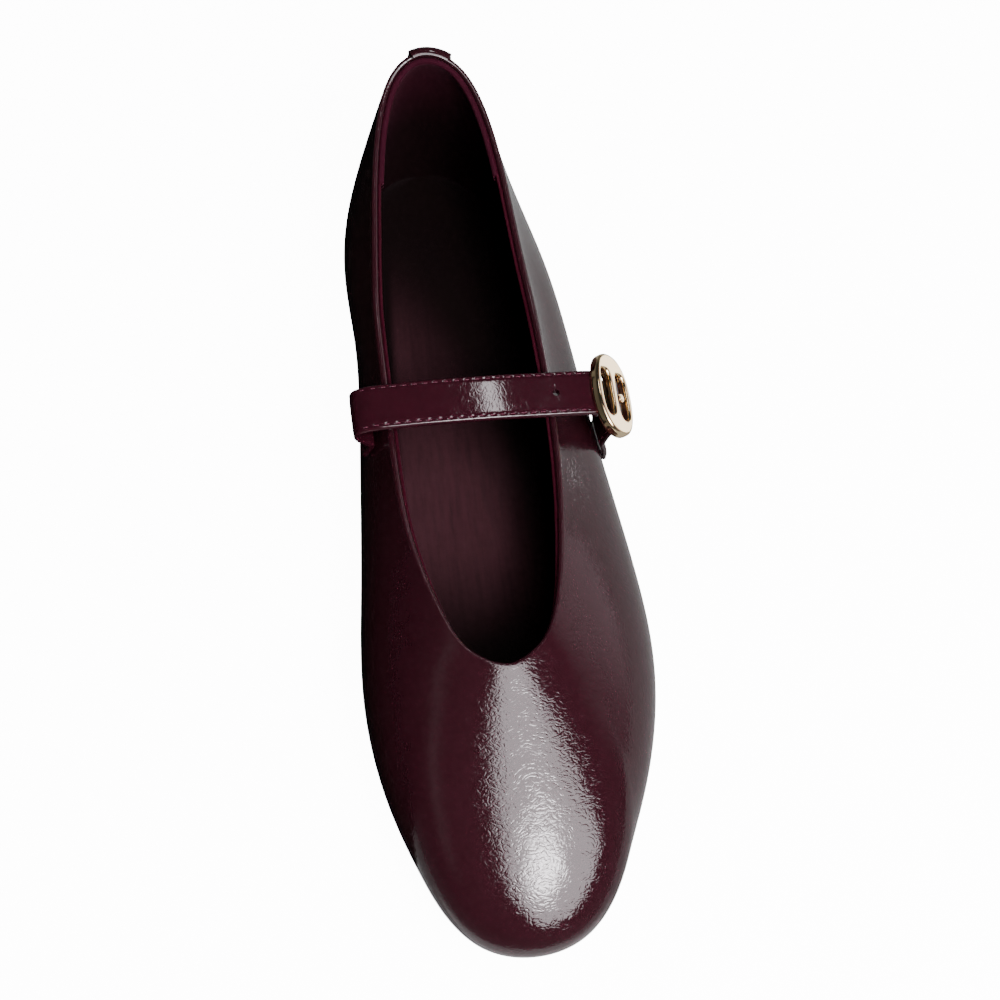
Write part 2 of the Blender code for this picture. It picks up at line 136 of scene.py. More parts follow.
def ridges(tree, place, pitch, stretch, detail):
    """Narrow valleys between flat ridges: how far a stretched noise is from its middle value."""
    packed = node(tree, "Mapping", {"Vector": place, "Scale": stretch})
    settings = {"Vector": packed.outputs[0], "Scale": 0.62 / pitch, "Detail": detail, "Roughness": 0.45}
    grain = node(tree, "TexNoise", settings)
    off = node(tree, "Math", {0: grain.outputs[0], 1: 0.5}, operation="SUBTRACT")
    size = node(tree, "Math", {0: off.outputs[0]}, operation="ABSOLUTE")
    return node(tree, "MapRange", {0: size.outputs[0], 1: 0.0, 2: VALLEY_WIDTH, 3: 0.0, 4: 1.0}).outputs[0]


def patent_leather(name, colour, stretch, wrinkle, swelling):
    """Glossy film on leather. Stretch packs the wrinkles per axis, and wrinkle is their depth."""
    made, tree, shader = finish(name)
    place = node(tree, "TexCoord").outputs["Object"]
    bend = node(tree, "TexNoise", {"Vector": place, "Scale": 1 / WRINKLE_BEND, "Detail": 2.0})
    centred = node(tree, "VectorMath", {0: bend.outputs["Color"], 1: (0.5, 0.5, 0.5)}, operation="SUBTRACT")
    small = node(tree, "VectorMath", {0: centred.outputs[0], "Scale": BEND_REACH}, operation="SCALE")
    bent = node(tree, "VectorMath", {0: place, 1: small.outputs[0]}, operation="ADD").outputs[0]
    long_ones = ridges(tree, bent, WRINKLE_PITCH, stretch, 0.3)
    short_ones = ridges(tree, bent, WRINKLE_PITCH * 0.8, (1, 1, 1), 0.0)
    swell = node(tree, "TexNoise", {"Vector": place, "Scale": 1 / SWELL_PITCH, "Detail": 2.0})
    mixed = node(tree, "Math", {0: short_ones, 1: SHORT_SHARE, 2: long_ones}, operation="MULTIPLY_ADD")
    waves = {0: swell.outputs[0], 1: swelling, 2: mixed.outputs[0]}
    height = node(tree, "Math", waves, operation="MULTIPLY_ADD")
    bump = node(tree, "Bump", {"Height": height.outputs[0], "Strength": 1.0, "Distance": wrinkle})
    tones = {0: bend.outputs[0], 6: linear(colour[0]), 7: linear(colour[1])}
    shade = node(tree, "Mix", tones, data_type="RGBA")
    feed(tree, shader, {"Base Color": shade.outputs[2], "Normal": bump.outputs[0]})
    feed(tree, shader, {"Roughness": 0.6, "Specular IOR Level": 0.05, "Coat Normal": bump.outputs[0]})
    feed(tree, shader, {"Coat Weight": 1.0, "Coat Roughness": 0.07, "Coat IOR": 1.5})
    return made


BURGUNDY = ("#260b12", "#2c0e17")
STRAP_BURGUNDY = ("#2a0a14", "#320c18")
UPPER_PATENT = patent_leather("crinkled_patent_upper", BURGUNDY, (0.6, 1.0, 1.0), 0.016 * MM, 3.2)
STRAP_PATENT = patent_leather("crinkled_patent_strap", STRAP_BURGUNDY, (1.0, 0.6, 1.0), 0.0045 * MM, 2.5)
TAB_PATENT = patent_leather("crinkled_patent_tabs", BURGUNDY, (0.8, 0.8, 0.8), 0.004 * MM, 5.0)
print("patent leathers:", UPPER_PATENT.name, STRAP_PATENT.name, TAB_PATENT.name)

# %% [markdown]
# ## Lining, heel grip and insole
#
# The lining is thin aniline leather, smooth and hardly glossy. The heel grip is microfibre, a
# fine dark nap that looks lighter where it turns away, which the sheen gives. The insole's cover is
# a waxed leather, nearly black. Masks in the shoe's own millimetres paint light on the inner side of
# the insole's waist as a lighter streaked patch, ringed by painted shade. They also paint shade on
# lining and grip toward the sole, and leave the grip's padded crown lighter as a painted highlight.


# %% Make the soft finishes
def soft_leather(name, dark, light, grain, depth, roughness, gloss):
    """Leather or microfibre with a fine grain of this width and depth, and cloudy colour."""
    made, tree, shader = finish(name)
    place = node(tree, "TexCoord").outputs["Object"]
    cloud = node(tree, "TexNoise", {"Vector": place, "Scale": 90.0, "Detail": 4.0})
    pebble = node(tree, "TexVoronoi", {"Vector": place, "Scale": 1 / grain})
    fine = node(tree, "TexNoise", {"Vector": place, "Scale": 0.6 / grain, "Detail": 5.0})
    height = node(
        tree, "Math", {0: fine.outputs[0], 1: 1.5, 2: pebble.outputs["Distance"]}, operation="MULTIPLY_ADD"
    )
    bump = node(tree, "Bump", {"Height": height.outputs[0], "Distance": depth, "Strength": 1.0})
    shade = node(tree, "Mix", {0: cloud.outputs[0], 6: linear(dark), 7: linear(light)}, data_type="RGBA")
    span = {0: cloud.outputs[0], 1: 0.3, 2: 0.7, 3: roughness - 0.06, 4: roughness + 0.06}
    dull = node(tree, "MapRange", span)
    feed(tree, shader, {"Base Color": shade.outputs[2], "Roughness": dull.outputs[0]})
    feed(tree, shader, {"Normal": bump.outputs[0], "Specular IOR Level": gloss})
    return made


def ramp(tree, value, low, high):
    """A smooth step from 0 at one value to 1 at another."""
    return node(
        tree, "MapRange", {0: value, 1: low, 2: high, 3: 0.0, 4: 1.0}, interpolation_type="SMOOTHSTEP"
    ).outputs[0]


def lay_over(made, colour, masks):
    """Mixes a colour over a finish, where all of its masks are near 1."""
    tree = made.node_tree
    whole = masks[0]
    for mask in masks[1:]:
        whole = node(tree, "Math", {0: whole, 1: mask}, operation="MULTIPLY").outputs[0]
    base = tree.nodes["Principled BSDF"].inputs["Base Color"]
    below = base.links[0].from_socket
    shade = node(tree, "Mix", {0: whole, 6: below, 7: linear(colour)}, data_type="RGBA")
    tree.links.new(shade.outputs[2], base)


def leaning(tree, axis, slope, other):
    """One coordinate of the shoe plus a share of another, which leans the lines of a mask."""
    axes = node(tree, "SeparateXYZ", {0: node(tree, "TexCoord").outputs["Object"]}).outputs
    return node(tree, "Math", {0: axes[other], 1: slope, 2: axes[axis]}, operation="MULTIPLY_ADD").outputs[0]


def paint_waist_light(made, colour):
    """Painted light: a lighter patch on the inner half of the waist, streaked along the shoe."""
    tree = made.node_tree
    place = node(tree, "TexCoord").outputs["Object"]
    streaks = node(tree, "Mapping", {"Vector": place, "Scale": (1.0, 0.06, 1.0)})
    grain = node(tree, "TexNoise", {"Vector": streaks.outputs[0], "Scale": 1 / (1.6 * MM), "Detail": 4.0})
    # painted light on the insole: lighter toward the inner side, a painted shadow strip along the inner wall,
    # and painted shade toward heel and throat; the grain streaks it
    masks = (
        ramp(tree, leaning(tree, "X", 0.35, "Y"), -4 * MM, -30 * MM),
        ramp(tree, leaning(tree, "X", -0.07, "Y"), -15.5 * MM, -12.5 * MM),
        ramp(tree, leaning(tree, "Y", 0.0, "X"), 8 * MM, -40 * MM),
        ramp(tree, leaning(tree, "Y", 0.0, "X"), -128 * MM, -88 * MM),
        ramp(tree, grain.outputs[0], -0.6, 0.75),
    )
    lay_over(made, colour, masks)


LINING_SHADE = (38 * MM, 28 * MM)
GRIP_LEAN = -0.44
GRIP_LIT_CROWN = (55.6 * MM, 54 * MM)
GRIP_SHADE = (52 * MM, 22 * MM)
LINING = soft_leather("aniline_lining_leather", "#310916", "#3b0d1c", 0.35 * MM, 0.02 * MM, 0.5, 0.08)
tree = LINING.node_tree
# painted shade: the lining is darker toward the sole
lay_over(LINING, "#0a0305", [ramp(tree, leaning(tree, "Z", 0.0, "X"), *LINING_SHADE)])
GRIP = soft_leather("microfibre_heel_grip", "#300d1a", "#3e1323", 0.25 * MM, 0.03 * MM, 0.8, 0.05)
tree = GRIP.node_tree
# painted highlight on the grip's padded crown, which stays lighter, and painted shade below it, near black
# toward the sole
for colour, span in (("#280c15", GRIP_LIT_CROWN), ("#0b0405", GRIP_SHADE)):
    lay_over(GRIP, colour, [ramp(tree, leaning(tree, "Z", GRIP_LEAN, "Y"), *span)])
sheen = {"Sheen Weight": 0.12, "Sheen Roughness": 0.4, "Sheen Tint": linear("#b06a80")}
feed(tree, tree.nodes["Principled BSDF"], sheen)
INSOLE = soft_leather("waxed_insole_leather", "#0a0506", "#0e0708", 0.5 * MM, 0.03 * MM, 0.65, 0.04)
# painted light, where light falls on the inner side of the insole's waist
paint_waist_light(INSOLE, "#371e24")

# %% [markdown]
# ## Rubber, metal and thread
#
# The sole is moulded rubber, nearly black and dull. The buckle is a zinc casting, polished and
# plated in a pale gold, so it mirrors the studio with only faint wipe marks. The thread is a
# twisted polyester, a little pinker than the leather.

# %% Make the rubber, the gold and the thread
SOLE, tree, shader = finish("moulded_sole_rubber")
place = node(tree, "TexCoord").outputs["Object"]
grit = node(tree, "TexNoise", {"Vector": place, "Scale": 1 / (0.4 * MM), "Detail": 3.0})
bump = node(tree, "Bump", {"Height": grit.outputs[0], "Distance": 0.03 * MM})
shade = node(tree, "Mix", {0: grit.outputs[0], 6: linear("#120d0d"), 7: linear("#1d1516")}, data_type="RGBA")
feed(tree, shader, {"Base Color": shade.outputs[2], "Normal": bump.outputs[0], "Roughness": 0.55})

GOLD, tree, shader = finish("plated_pale_gold")
place = node(tree, "TexCoord").outputs["Object"]
wipe = node(tree, "TexNoise", {"Vector": place, "Scale": 260.0, "Detail": 3.0})
dull = node(tree, "MapRange", {0: wipe.outputs[0], 1: 0.3, 2: 0.7, 3: 0.07, 4: 0.14})
bump = node(tree, "Bump", {"Height": wipe.outputs[0], "Distance": 0.01 * MM})
feed(tree, shader, {"Base Color": linear("#f3d8ac"), "Metallic": 1.0})
feed(tree, shader, {"Roughness": dull.outputs[0], "Normal": bump.outputs[0]})

THREAD, tree, shader = finish("twisted_polyester_thread")
place = node(tree, "TexCoord").outputs["Object"]
twist = node(
    tree, "TexWave", {"Vector": place, "Scale": 1 / (1.2 * MM), "Distortion": 0.6}, bands_direction="DIAGONAL"
)
bump = node(tree, "Bump", {"Height": twist.outputs[0], "Distance": 0.04 * MM})
shade = node(tree, "Mix", {0: twist.outputs[0], 6: linear("#48182a"), 7: linear("#6e3448")}, data_type="RGBA")
feed(tree, shader, {"Base Color": shade.outputs[2], "Normal": bump.outputs[0], "Roughness": 0.5})
print("finishes:", SOLE.name, GOLD.name, THREAD.name)

# %% [markdown]
# ## The last's sizes
#
# A shoe is drawn over a last, and the last is drawn from a few sizes. The tables give two lines
# round the shoe: the feather edge, where the upper meets the sole, and the topline. "Along" is a
# share of the length from the back, widths are shares of the width at the ball and heights are
# shares of the height at the back. The last table says how the wall swells between the two lines.

# %% Write down the sizes and the tables
LENGTH = 248 * MM
BALL_WIDTH = 81 * MM
BACK_HEIGHT = 71 * MM
WALL = 2.2 * MM
CLEARANCE = 0.3 * MM
OUTSOLE_THICKNESS = 4 * MM
OUTSOLE_EDGE = 0.6 * MM
HEEL_HEIGHT = 9 * MM
TOE_SPRING = 8 * MM
INSOLE_THICKNESS = 3 * MM
HEEL_CENTRE = 0.14
HEEL_BREAST = 0.25
BALL_START = 0.615
BALL_END = 0.765


def table(columns, *rows):
    """A table of shares, as one array for each named column."""
    return dict(zip(columns.split(), np.array(rows, float).T))


FEATHER = table(
    "along medial lateral",
    (0.028, 0.000, 0.000),
    (0.052, 0.186, 0.146),
    (0.140, 0.312, 0.318),
    (0.280, 0.299, 0.395),
    (0.430, 0.325, 0.445),
    (0.580, 0.366, 0.507),
    (0.710, 0.404, 0.512),
    (0.840, 0.331, 0.385),
    (0.925, 0.232, 0.252),
    (0.977, 0.131, 0.141),
    (0.990, -0.008, 0.008),
)
TOPLINE = table(
    "along medial lateral height",
    (0.009, 0.000, 0.000, 1.000),
    (0.038, 0.162, 0.133, 0.946),
    (0.197, 0.262, 0.237, 0.770),
    (0.309, 0.289, 0.268, 0.706),
    (0.437, 0.286, 0.281, 0.662),
    (0.554, 0.264, 0.255, 0.640),
    (0.637, 0.201, 0.206, 0.640),
    (0.686, 0.139, 0.146, 0.643),
    (0.703, 0.090, 0.097, 0.644),
    (0.712, 0.044, 0.053, 0.645),
    (0.716, -0.010, 0.010, 0.645),
)
WALL_FORM = table(
    "bulge rise shoulder drop",
    (0.074, 0.250, 0.050, 0.240),
    (0.074, 0.250, 0.040, 0.240),
    (0.074, 0.240, 0.055, 0.210),
    (0.086, 0.225, 0.060, 0.210),
    (0.099, 0.225, 0.086, 0.200),
    (0.117, 0.225, 0.136, 0.170),
    (0.123, 0.225, 0.222, 0.155),
    (0.160, 0.210, 0.333, 0.155),
    (0.185, 0.197, 0.400, 0.160),
    (0.197, 0.197, 0.440, 0.165),
    (0.197, 0.197, 0.455, 0.165),
)


# %% [markdown]
# ## Curves round the shoe
#
# Each table column becomes a smooth closed curve: down the medial side from the back to the toe
# and up the lateral side. The wall at a place is a cubic curve from the feather edge to the
# topline, which is how a pattern maker would rule its sections.


# %% Work out the wall from the tables
def unit(vectors):
    """Vectors of length 1."""
    return vectors / np.linalg.norm(vectors, axis=-1, keepdims=True)


def forward(along):
    """The y of a place that is this share of the length from the back."""
    return (HEEL_CENTRE - along) * LENGTH


def sole_lift(y):
    """How high the outsole's underside is above the floor: heel seat, arch, flat ball, toe spring."""
    along = HEEL_CENTRE - np.asarray(y) / LENGTH
    arch = np.clip((along - HEEL_BREAST) / (BALL_START - HEEL_BREAST), 0, 1)
    spring = np.clip((along - BALL_END) / (1 - BALL_END), 0, 1)
    return HEEL_HEIGHT * (1 - arch * arch * (3 - 2 * arch)) + TOE_SPRING * spring**2


def ring(medial, lateral):
    """One value for each knot of a closed loop: down the medial side and back up the lateral."""
    return np.concatenate([medial, lateral[-2:0:-1]])


def loop_knots(lines, *rest):
    """The knots of a closed line from its table, with any more columns that it has."""
    x = ring(-lines["medial"], lines["lateral"]) * BALL_WIDTH
    y = forward(ring(lines["along"], lines["along"]))
    return np.stack([x, y] + [ring(column, column) for column in rest], axis=1)


FEATHER_KNOTS = loop_knots(FEATHER)
TOPLINE_KNOTS = loop_knots(TOPLINE, TOPLINE["height"] * BACK_HEIGHT)
FORM_SIZES = np.array([BALL_WIDTH, BACK_HEIGHT, BALL_WIDTH, BACK_HEIGHT])
FORM_KNOTS = np.stack([ring(column, column) for column in WALL_FORM.values()], axis=1) * FORM_SIZES
CHORDS = np.linalg.norm(np.roll(FEATHER_KNOTS, -1, axis=0) - FEATHER_KNOTS, axis=1)
GIRTH = CHORDS.sum()
KNOTS = np.concatenate([[0], np.cumsum(CHORDS)[:-1]])


def spline_bends(values):
    """The second derivatives of the closed cubic spline through the values at the knots."""
    count = len(KNOTS)
    steps = np.diff(np.append(KNOTS, GIRTH))
    system, slopes = np.zeros((count, count)), np.zeros_like(values)
    for i in range(count):
        before, after = steps[i - 1], steps[i]
        system[i, i - 1] += before
        system[i, i] += 2 * (before + after)
        system[i, (i + 1) % count] += after
        slopes[i] = 6 * ((values[(i + 1) % count] - values[i]) / after - (values[i] - values[i - 1]) / before)
    return np.linalg.solve(system, slopes)


BENDS = {id(knots): spline_bends(knots) for knots in (FEATHER_KNOTS, TOPLINE_KNOTS, FORM_KNOTS)}


def spline(knots, at):
    """A closed curve through the knots, read at places round the loop."""
    bend, steps = BENDS[id(knots)], np.diff(np.append(KNOTS, GIRTH))
    at = np.mod(at, GIRTH)
    low = np.clip(np.searchsorted(KNOTS, at, side="right") - 1, 0, len(KNOTS) - 1)
    high = (low + 1) % len(KNOTS)
    step, past = steps[low][:, None], (at - KNOTS[low])[:, None]
    left = step - past
    curve = (bend[low] * left**3 + bend[high] * past**3) / (6 * step)
    curve += (knots[low] / step - bend[low] * step / 6) * left
    return curve + (knots[high] / step - bend[high] * step / 6) * past


def feather(at, out=0.0):
    """The feather edge in plan, moved out by a distance, with its outward direction."""
    step = GIRTH / 2000
    along = spline(FEATHER_KNOTS, at + step) - spline(FEATHER_KNOTS, at - step)
    outward = unit(np.stack([along[:, 1], -along[:, 0]], axis=1))
    return spline(FEATHER_KNOTS, at) + outward * out, outward


def wall(at, up):
    """The upper's outside at places round the loop and shares of the way up, as a grid of points."""
    plan, outward = feather(at)
    base = np.column_stack([plan, sole_lift(plan[:, 1]) + OUTSOLE_THICKNESS + CLEARANCE])
    top, form = spline(TOPLINE_KNOTS, at), spline(FORM_KNOTS, at)
    outward = np.column_stack([outward, np.zeros(len(at))])
    upward = np.array([0.0, 0.0, 1.0])
    lower = base + outward * form[:, :1] + upward * form[:, 1:2]
    upper = top + outward * form[:, 2:3] - upward * form[:, 3:]
    t = np.atleast_2d(up)[..., None]
    grid = (1 - t) ** 3 * base[:, None] + 3 * (1 - t) ** 2 * t * lower[:, None]
    return grid + 3 * (1 - t) * t**2 * upper[:, None] + t**3 * top[:, None]


def wall_frame(at, up):
    """The wall's points, its outward normals and its directions up, at the same places."""
    step, rise = GIRTH / 3000, 1e-3
    up = np.atleast_2d(up)
    upward = unit(wall(at, up + rise) - wall(at, up - rise))
    normal = unit(np.cross(wall(at + step, up) - wall(at - step, up), upward))
    return wall(at, up), normal, upward


print("girth round the feather edge in mm:", round(GIRTH / MM, 1))

# %% [markdown]
# ## Bending a sheet
#
# Every lasted piece starts as Blender's grid, a flat sheet of quads. Its points are then moved to
# where the last puts them. A sheet whose sides meet becomes a tube when its doubled points are
# merged. This is quicker and truer than pushing a box about, because the last is a formula.


# %% A helper that bends a grid
def bent_grid(name, places, surface, weld=True):
    """A grid primitive bent so that each of its points takes its place from an array of places."""
    columns, rows = places.shape[0] - 1, places.shape[1] - 1
    bpy.ops.object.select_all(action="DESELECT")
    bpy.ops.mesh.primitive_grid_add(x_subdivisions=columns, y_subdivisions=rows, size=1)
    piece = bpy.context.active_object
    piece.name = piece.data.name = name
    flat = np.empty(len(piece.data.vertices) * 3)
    piece.data.vertices.foreach_get("co", flat)
    flat = flat.reshape(-1, 3) + 0.5
    i = np.rint(flat[:, 0] * columns).astype(int)
    j = np.rint(flat[:, 1] * rows).astype(int)
    piece.data.vertices.foreach_set("co", places[i, j].ravel())
    piece.data.materials.append(surface)
    if weld:
        bpy.ops.object.mode_set(mode="EDIT")
        bpy.ops.mesh.select_all(action="SELECT")
        bpy.ops.mesh.remove_doubles(threshold=0.002 * MM)
        bpy.ops.mesh.fill_holes(sides=0)
        bpy.ops.mesh.normals_make_consistent(inside=False)
        bpy.ops.object.mode_set(mode="OBJECT")
    bpy.ops.object.shade_smooth()
    piece.data.update()
    print(name, "faces:", len(piece.data.polygons))
    return piece


# %% [markdown]
# ## The patent upper
#
# The upper is one skin of patent leather, pulled over the last. Along the topline it is turned in
# on itself, which gives the round edge that catches the light all the way round. The section of
# the skin runs up the outside, over the round edge and down the inside, so the piece is closed and
# has its real thickness everywhere. The turned edge is two layers thick at the sides and pared
# thinner at throat and heel. More columns stand at heel and toe, where the wall turns fastest.


# %% Bend the upper and its turned edge
def round_loop(count, crowding=0.6):
    """Places round the loop, closer together at heel and toe. The last one meets the first."""
    share = np.linspace(0, 1, count + 1)
    return GIRTH * (share - crowding * np.sin(4 * math.pi * share) / (4 * math.pi))


TURN_REACH = 0.16


def layer_depth(depths, share):
    """How deep a layer lies at shares of the way up: its depth in the wall, then at the edge."""
    low, high = (np.reshape(depth, (-1, 1)) for depth in depths)
    swell = np.clip((share - 1 + TURN_REACH) / TURN_REACH, 0, 1) ** 2
    return (low + (high - low) * swell)[..., None]


def turned_shell(at, outer, inner, drop, rows):
    """A sheet between two layers of the wall, each with its depth below and at the edge."""
    near, far = (np.reshape(np.zeros(len(at)) + depths[1], (-1, 1)) for depths in (outer, inner))
    radius = (far - near) / 2
    top, out, up = (grid[:, 0] for grid in wall_frame(at, [1.0]))
    speed = np.linalg.norm(wall(at, [1.0]) - wall(at, [0.999]), axis=2) * 1000
    stop = 1 - (drop + radius) / speed
    middle = top - out * (near + far) / 2 - up * (drop + radius)
    turns = np.linspace(0, math.pi, rows[1] + 2)[1:-1]
    edge = [middle + out * radius * math.cos(a) + up * radius * math.sin(a) for a in turns]
    climb, fall = np.linspace(0, 1, rows[0]) ** 0.8, np.linspace(1, 0, rows[2])
    outside, out, _ = wall_frame(at, stop * climb)
    inside, back, _ = wall_frame(at, stop * fall)
    outside = outside - out * layer_depth(outer, climb)
    inside = inside - back * layer_depth(inner, fall)
    grid = np.concatenate([outside, np.stack(edge, axis=1), inside], axis=1)
    return np.concatenate([grid, grid[:, :1]], axis=1)


def turned_edge(at):
    """The width of the turned edge: two layers of skin at the sides, pared at throat and heel."""
    y = spline(TOPLINE_KNOTS, at)[:, 1]
    return np.interp(y, np.array([-150, -110, -30, 10]) * MM, np.array([1.5, 2.1, 2.1, 1.7]) * MM)


PATENT_SKIN = 1.2 * MM
LAYER_GAP = 0.07 * MM
loop = round_loop(560)
upper = bent_grid(
    "patent_upper",
    turned_shell(loop, (0, 0), (PATENT_SKIN, turned_edge(loop)), 0, (84, 15, 16)),
    UPPER_PATENT,
)

# %% [markdown]
# ## Lining and heel grip
#
# Inside the skin lies the lining, whose own edge shows as a second thin line beside the turned
# one. Round the heel a microfibre grip covers it, and ends in a short stitched joint on each side.

# %% Bend the lining and the heel grip
loop = round_loop(420)
behind_edge = turned_edge(loop) + LAYER_GAP
lining = bent_grid(
    "lining",
    turned_shell(
        loop, (PATENT_SKIN + LAYER_GAP, behind_edge), (WALL, behind_edge + 0.9 * MM), 0.35 * MM, (10, 9, 34)
    ),
    LINING,
)

GRIP_REACH = (32.5 * MM, 31 * MM)
GRIP_PAD = 1.7 * MM
loop = np.linspace(-GRIP_REACH[1], GRIP_REACH[0], 140)
behind_edge = turned_edge(loop) + LAYER_GAP
grip = bent_grid(
    "heel_grip",
    turned_shell(
        loop,
        (PATENT_SKIN + LAYER_GAP * 2, behind_edge),
        (WALL + 0.4 * MM, behind_edge + GRIP_PAD),
        0.1 * MM,
        (10, 12, 40),
    ),
    GRIP,
)

# %% [markdown]
# ## The heel tab
#
# A folded strip covers the end of the back seam. It lies on the outside, goes over the turned edge
# and ends just past its top. It gets its thickness from Solidify and its soft edges from Bevel.

# %% Fold the heel tab over the topline
HEEL_TAB_WIDTH = 12.6 * MM
HEEL_TAB_THICKNESS = 1.0 * MM
FOLD_EASE = 0.4 * MM
FOLD_END = math.radians(120)
tab_at = np.linspace(-HEEL_TAB_WIDTH / 2, HEEL_TAB_WIDTH / 2, 33)
fold_radius = turned_edge(tab_at)[:, None] / 2
rim, rim_out, rim_up = (grid[:, 0] for grid in wall_frame(tab_at, [1.0]))
fold_middle = rim - rim_out * fold_radius - rim_up * fold_radius
fold_radius = fold_radius + FOLD_EASE
outside, out, _ = wall_frame(tab_at, np.linspace(0.84, 0.975, 16))
fold = [
    fold_middle + rim_out * fold_radius * math.cos(a) + rim_up * fold_radius * math.sin(a)
    for a in np.linspace(0, FOLD_END, 14)
]
tab_places = np.concatenate([outside + out * 0.1 * MM, np.stack(fold, axis=1)], axis=1)
heel_tab = bent_grid("heel_tab_strip", tab_places, TAB_PATENT, weld=False)


def apply_modifiers(piece):
    """Applies a piece's modifiers in their order, as the Apply button does."""
    bpy.ops.object.select_all(action="DESELECT")
    piece.select_set(True)
    bpy.context.view_layer.objects.active = piece
    for modifier in list(piece.modifiers):
        bpy.ops.object.modifier_apply(modifier=modifier.name)
    bpy.ops.object.shade_smooth_by_angle(angle=math.radians(50))


def add_modifier(piece, kind, **settings):
    """Adds a modifier and sets it."""
    made = piece.modifiers.new(kind.lower(), kind)
    for name, value in settings.items():
        setattr(made, name, value)


add_modifier(heel_tab, "SOLIDIFY", thickness=HEEL_TAB_THICKNESS, offset=1)
add_modifier(heel_tab, "BEVEL", width=0.25 * MM, segments=3, angle_limit=math.radians(50))
apply_modifiers(heel_tab)

# %% [markdown]
# ## Outsole and heel
#
# The outsole is a thin moulded unit. A grid is bent into its outline at the level of its top and
# extruded down. The narrow faces round it are pushed in as a groove, under the rand. The heel is
# made the same way, a little narrower at the floor, with the line of its top piece.


# %% Lay out a sole as rows across it
def halves_of(plan):
    """A closed outline as its medial and lateral halves from the toe to the heel."""
    back, tip = np.argmax(plan[:, 1]), np.argmin(plan[:, 1])
    plan = np.roll(plan, -back, axis=0)
    tip = (tip - back) % len(plan)
    return plan[: tip + 1][::-1], np.concatenate([plan[tip:], plan[:1]])


def outline_halves(out):
    """The two halves of the feather outline, moved out."""
    return halves_of(feather(np.linspace(0, GIRTH, 1440, endpoint=False), out)[0])


def sole_rows(halves, height, rows, columns, front=None):
    """A grid across the sole between its two halves, with its rows crowded at the round ends."""
    medial, lateral = halves
    start = medial[0, 1] if front is None else front
    share = (1 - np.cos(np.linspace(0.02, math.pi - 0.02, rows))) / 2
    y = start + (medial[-1, 1] - start) * share
    left = np.interp(y, medial[:, 1], medial[:, 0])
    right = np.interp(y, lateral[:, 1], lateral[:, 0])
    x = left + (right - left) * np.linspace(0, 1, columns)[:, None]
    y = np.repeat(y[None], columns, axis=0)
    return np.stack([x, y, height(y)], axis=2)


def select_faces(piece, keep):
    """Selects the faces whose middle and normal pass a test, and no others."""
    bpy.ops.object.mode_set(mode="EDIT")
    bpy.ops.mesh.select_all(action="DESELECT")
    bpy.ops.object.mode_set(mode="OBJECT")
    for face in piece.data.polygons:
        face.select = bool(keep(face.center, face.normal))
    bpy.ops.object.mode_set(mode="EDIT")
    bpy.ops.mesh.select_mode(type="FACE")


# %% Extrude the outsole and the heel
GROOVE_DEPTH = 0.35 * MM
SOLE_EDGE = 0.12 * MM
OUTSOLE_BANDS = ((1.2 * MM, 0), (0.45 * MM, 0), (2.35 * MM, 0))
HEEL_BANDS = ((5.4 * MM, 0.02), (0.4 * MM, 0), (2.9 * MM, 0.012))


def extruded_sole(name, places, drops):
    """Extrudes a sheet down in bands and pushes the second band of its side in as a groove."""
    piece = bent_grid(name, places, SOLE, weld=False)
    select_faces(piece, lambda middle, normal: True)
    middle = places.reshape(-1, 3).mean(axis=0)
    for drop, taper in drops:
        bpy.ops.mesh.extrude_region_move(TRANSFORM_OT_translate={"value": (0, 0, -drop)})
        bpy.ops.transform.resize(value=(1 - taper, 1 - taper, 1), center_override=tuple(middle))
    bpy.ops.mesh.select_all(action="SELECT")
    bpy.ops.mesh.normals_make_consistent(inside=False)
    bpy.ops.object.mode_set(mode="OBJECT")
    groove = drops[1][0]
    corners = np.array([v.co for v in piece.data.vertices])

    def in_groove(face):
        height = np.ptp(corners[list(face.vertices), 2])
        return abs(face.normal.z) < 0.5 and abs(height - groove) < 0.3 * groove

    chosen = [face.index for face in piece.data.polygons if in_groove(face)]
    select_faces(piece, lambda middle, normal: False)
    bpy.ops.object.mode_set(mode="OBJECT")
    for index in chosen:
        piece.data.polygons[index].select = True
    bpy.ops.object.mode_set(mode="EDIT")
    bpy.ops.mesh.extrude_region_shrink_fatten(TRANSFORM_OT_shrink_fatten={"value": -GROOVE_DEPTH})
    bpy.ops.object.mode_set(mode="OBJECT")
    print(name, "faces pushed in:", len(chosen))
    add_modifier(piece, "BEVEL", width=SOLE_EDGE, segments=2, angle_limit=math.radians(60))
    apply_modifiers(piece)
    return piece


outsole_grid = sole_rows(outline_halves(OUTSOLE_EDGE), lambda y: sole_lift(y) + OUTSOLE_THICKNESS, 240, 14)
outsole = extruded_sole("moulded_outsole", outsole_grid, OUTSOLE_BANDS)
heel_halves, breast = outline_halves(-0.2 * MM), forward(HEEL_BREAST)
heel_grid = sole_rows(heel_halves, lambda y: 0 * y + HEEL_HEIGHT - CLEARANCE, 120, 14, breast)
heel = extruded_sole("heel_block", heel_grid, HEEL_BANDS)

# %% [markdown]
# ## The insole
#
# The footbed fills the shoe from wall to wall. Its outline is where the lining's inside stands at
# the insole's level, so it is read from the wall itself. It is cupped a little, and its edge is
# rounded where the cover is turned under.


# %% Read the outline at the insole's level and fill it
def lining_outline(level, gap):
    """The plan of the lining's inside at a height above the sole's underside."""
    at = np.linspace(0, GIRTH, 1440, endpoint=False)
    up = np.linspace(0, 0.4, 41)
    points, out, _ = wall_frame(at, up)
    points = points - out * (WALL + gap)
    high = points[:, :, 2] - sole_lift(points[:, :, 1]) - level
    first = np.argmax(high > 0, axis=1)
    rows = np.arange(len(at))
    share = high[rows, first - 1] / (high[rows, first - 1] - high[rows, first])
    return points[rows, first - 1] + (points[rows, first] - points[rows, first - 1]) * share[:, None]


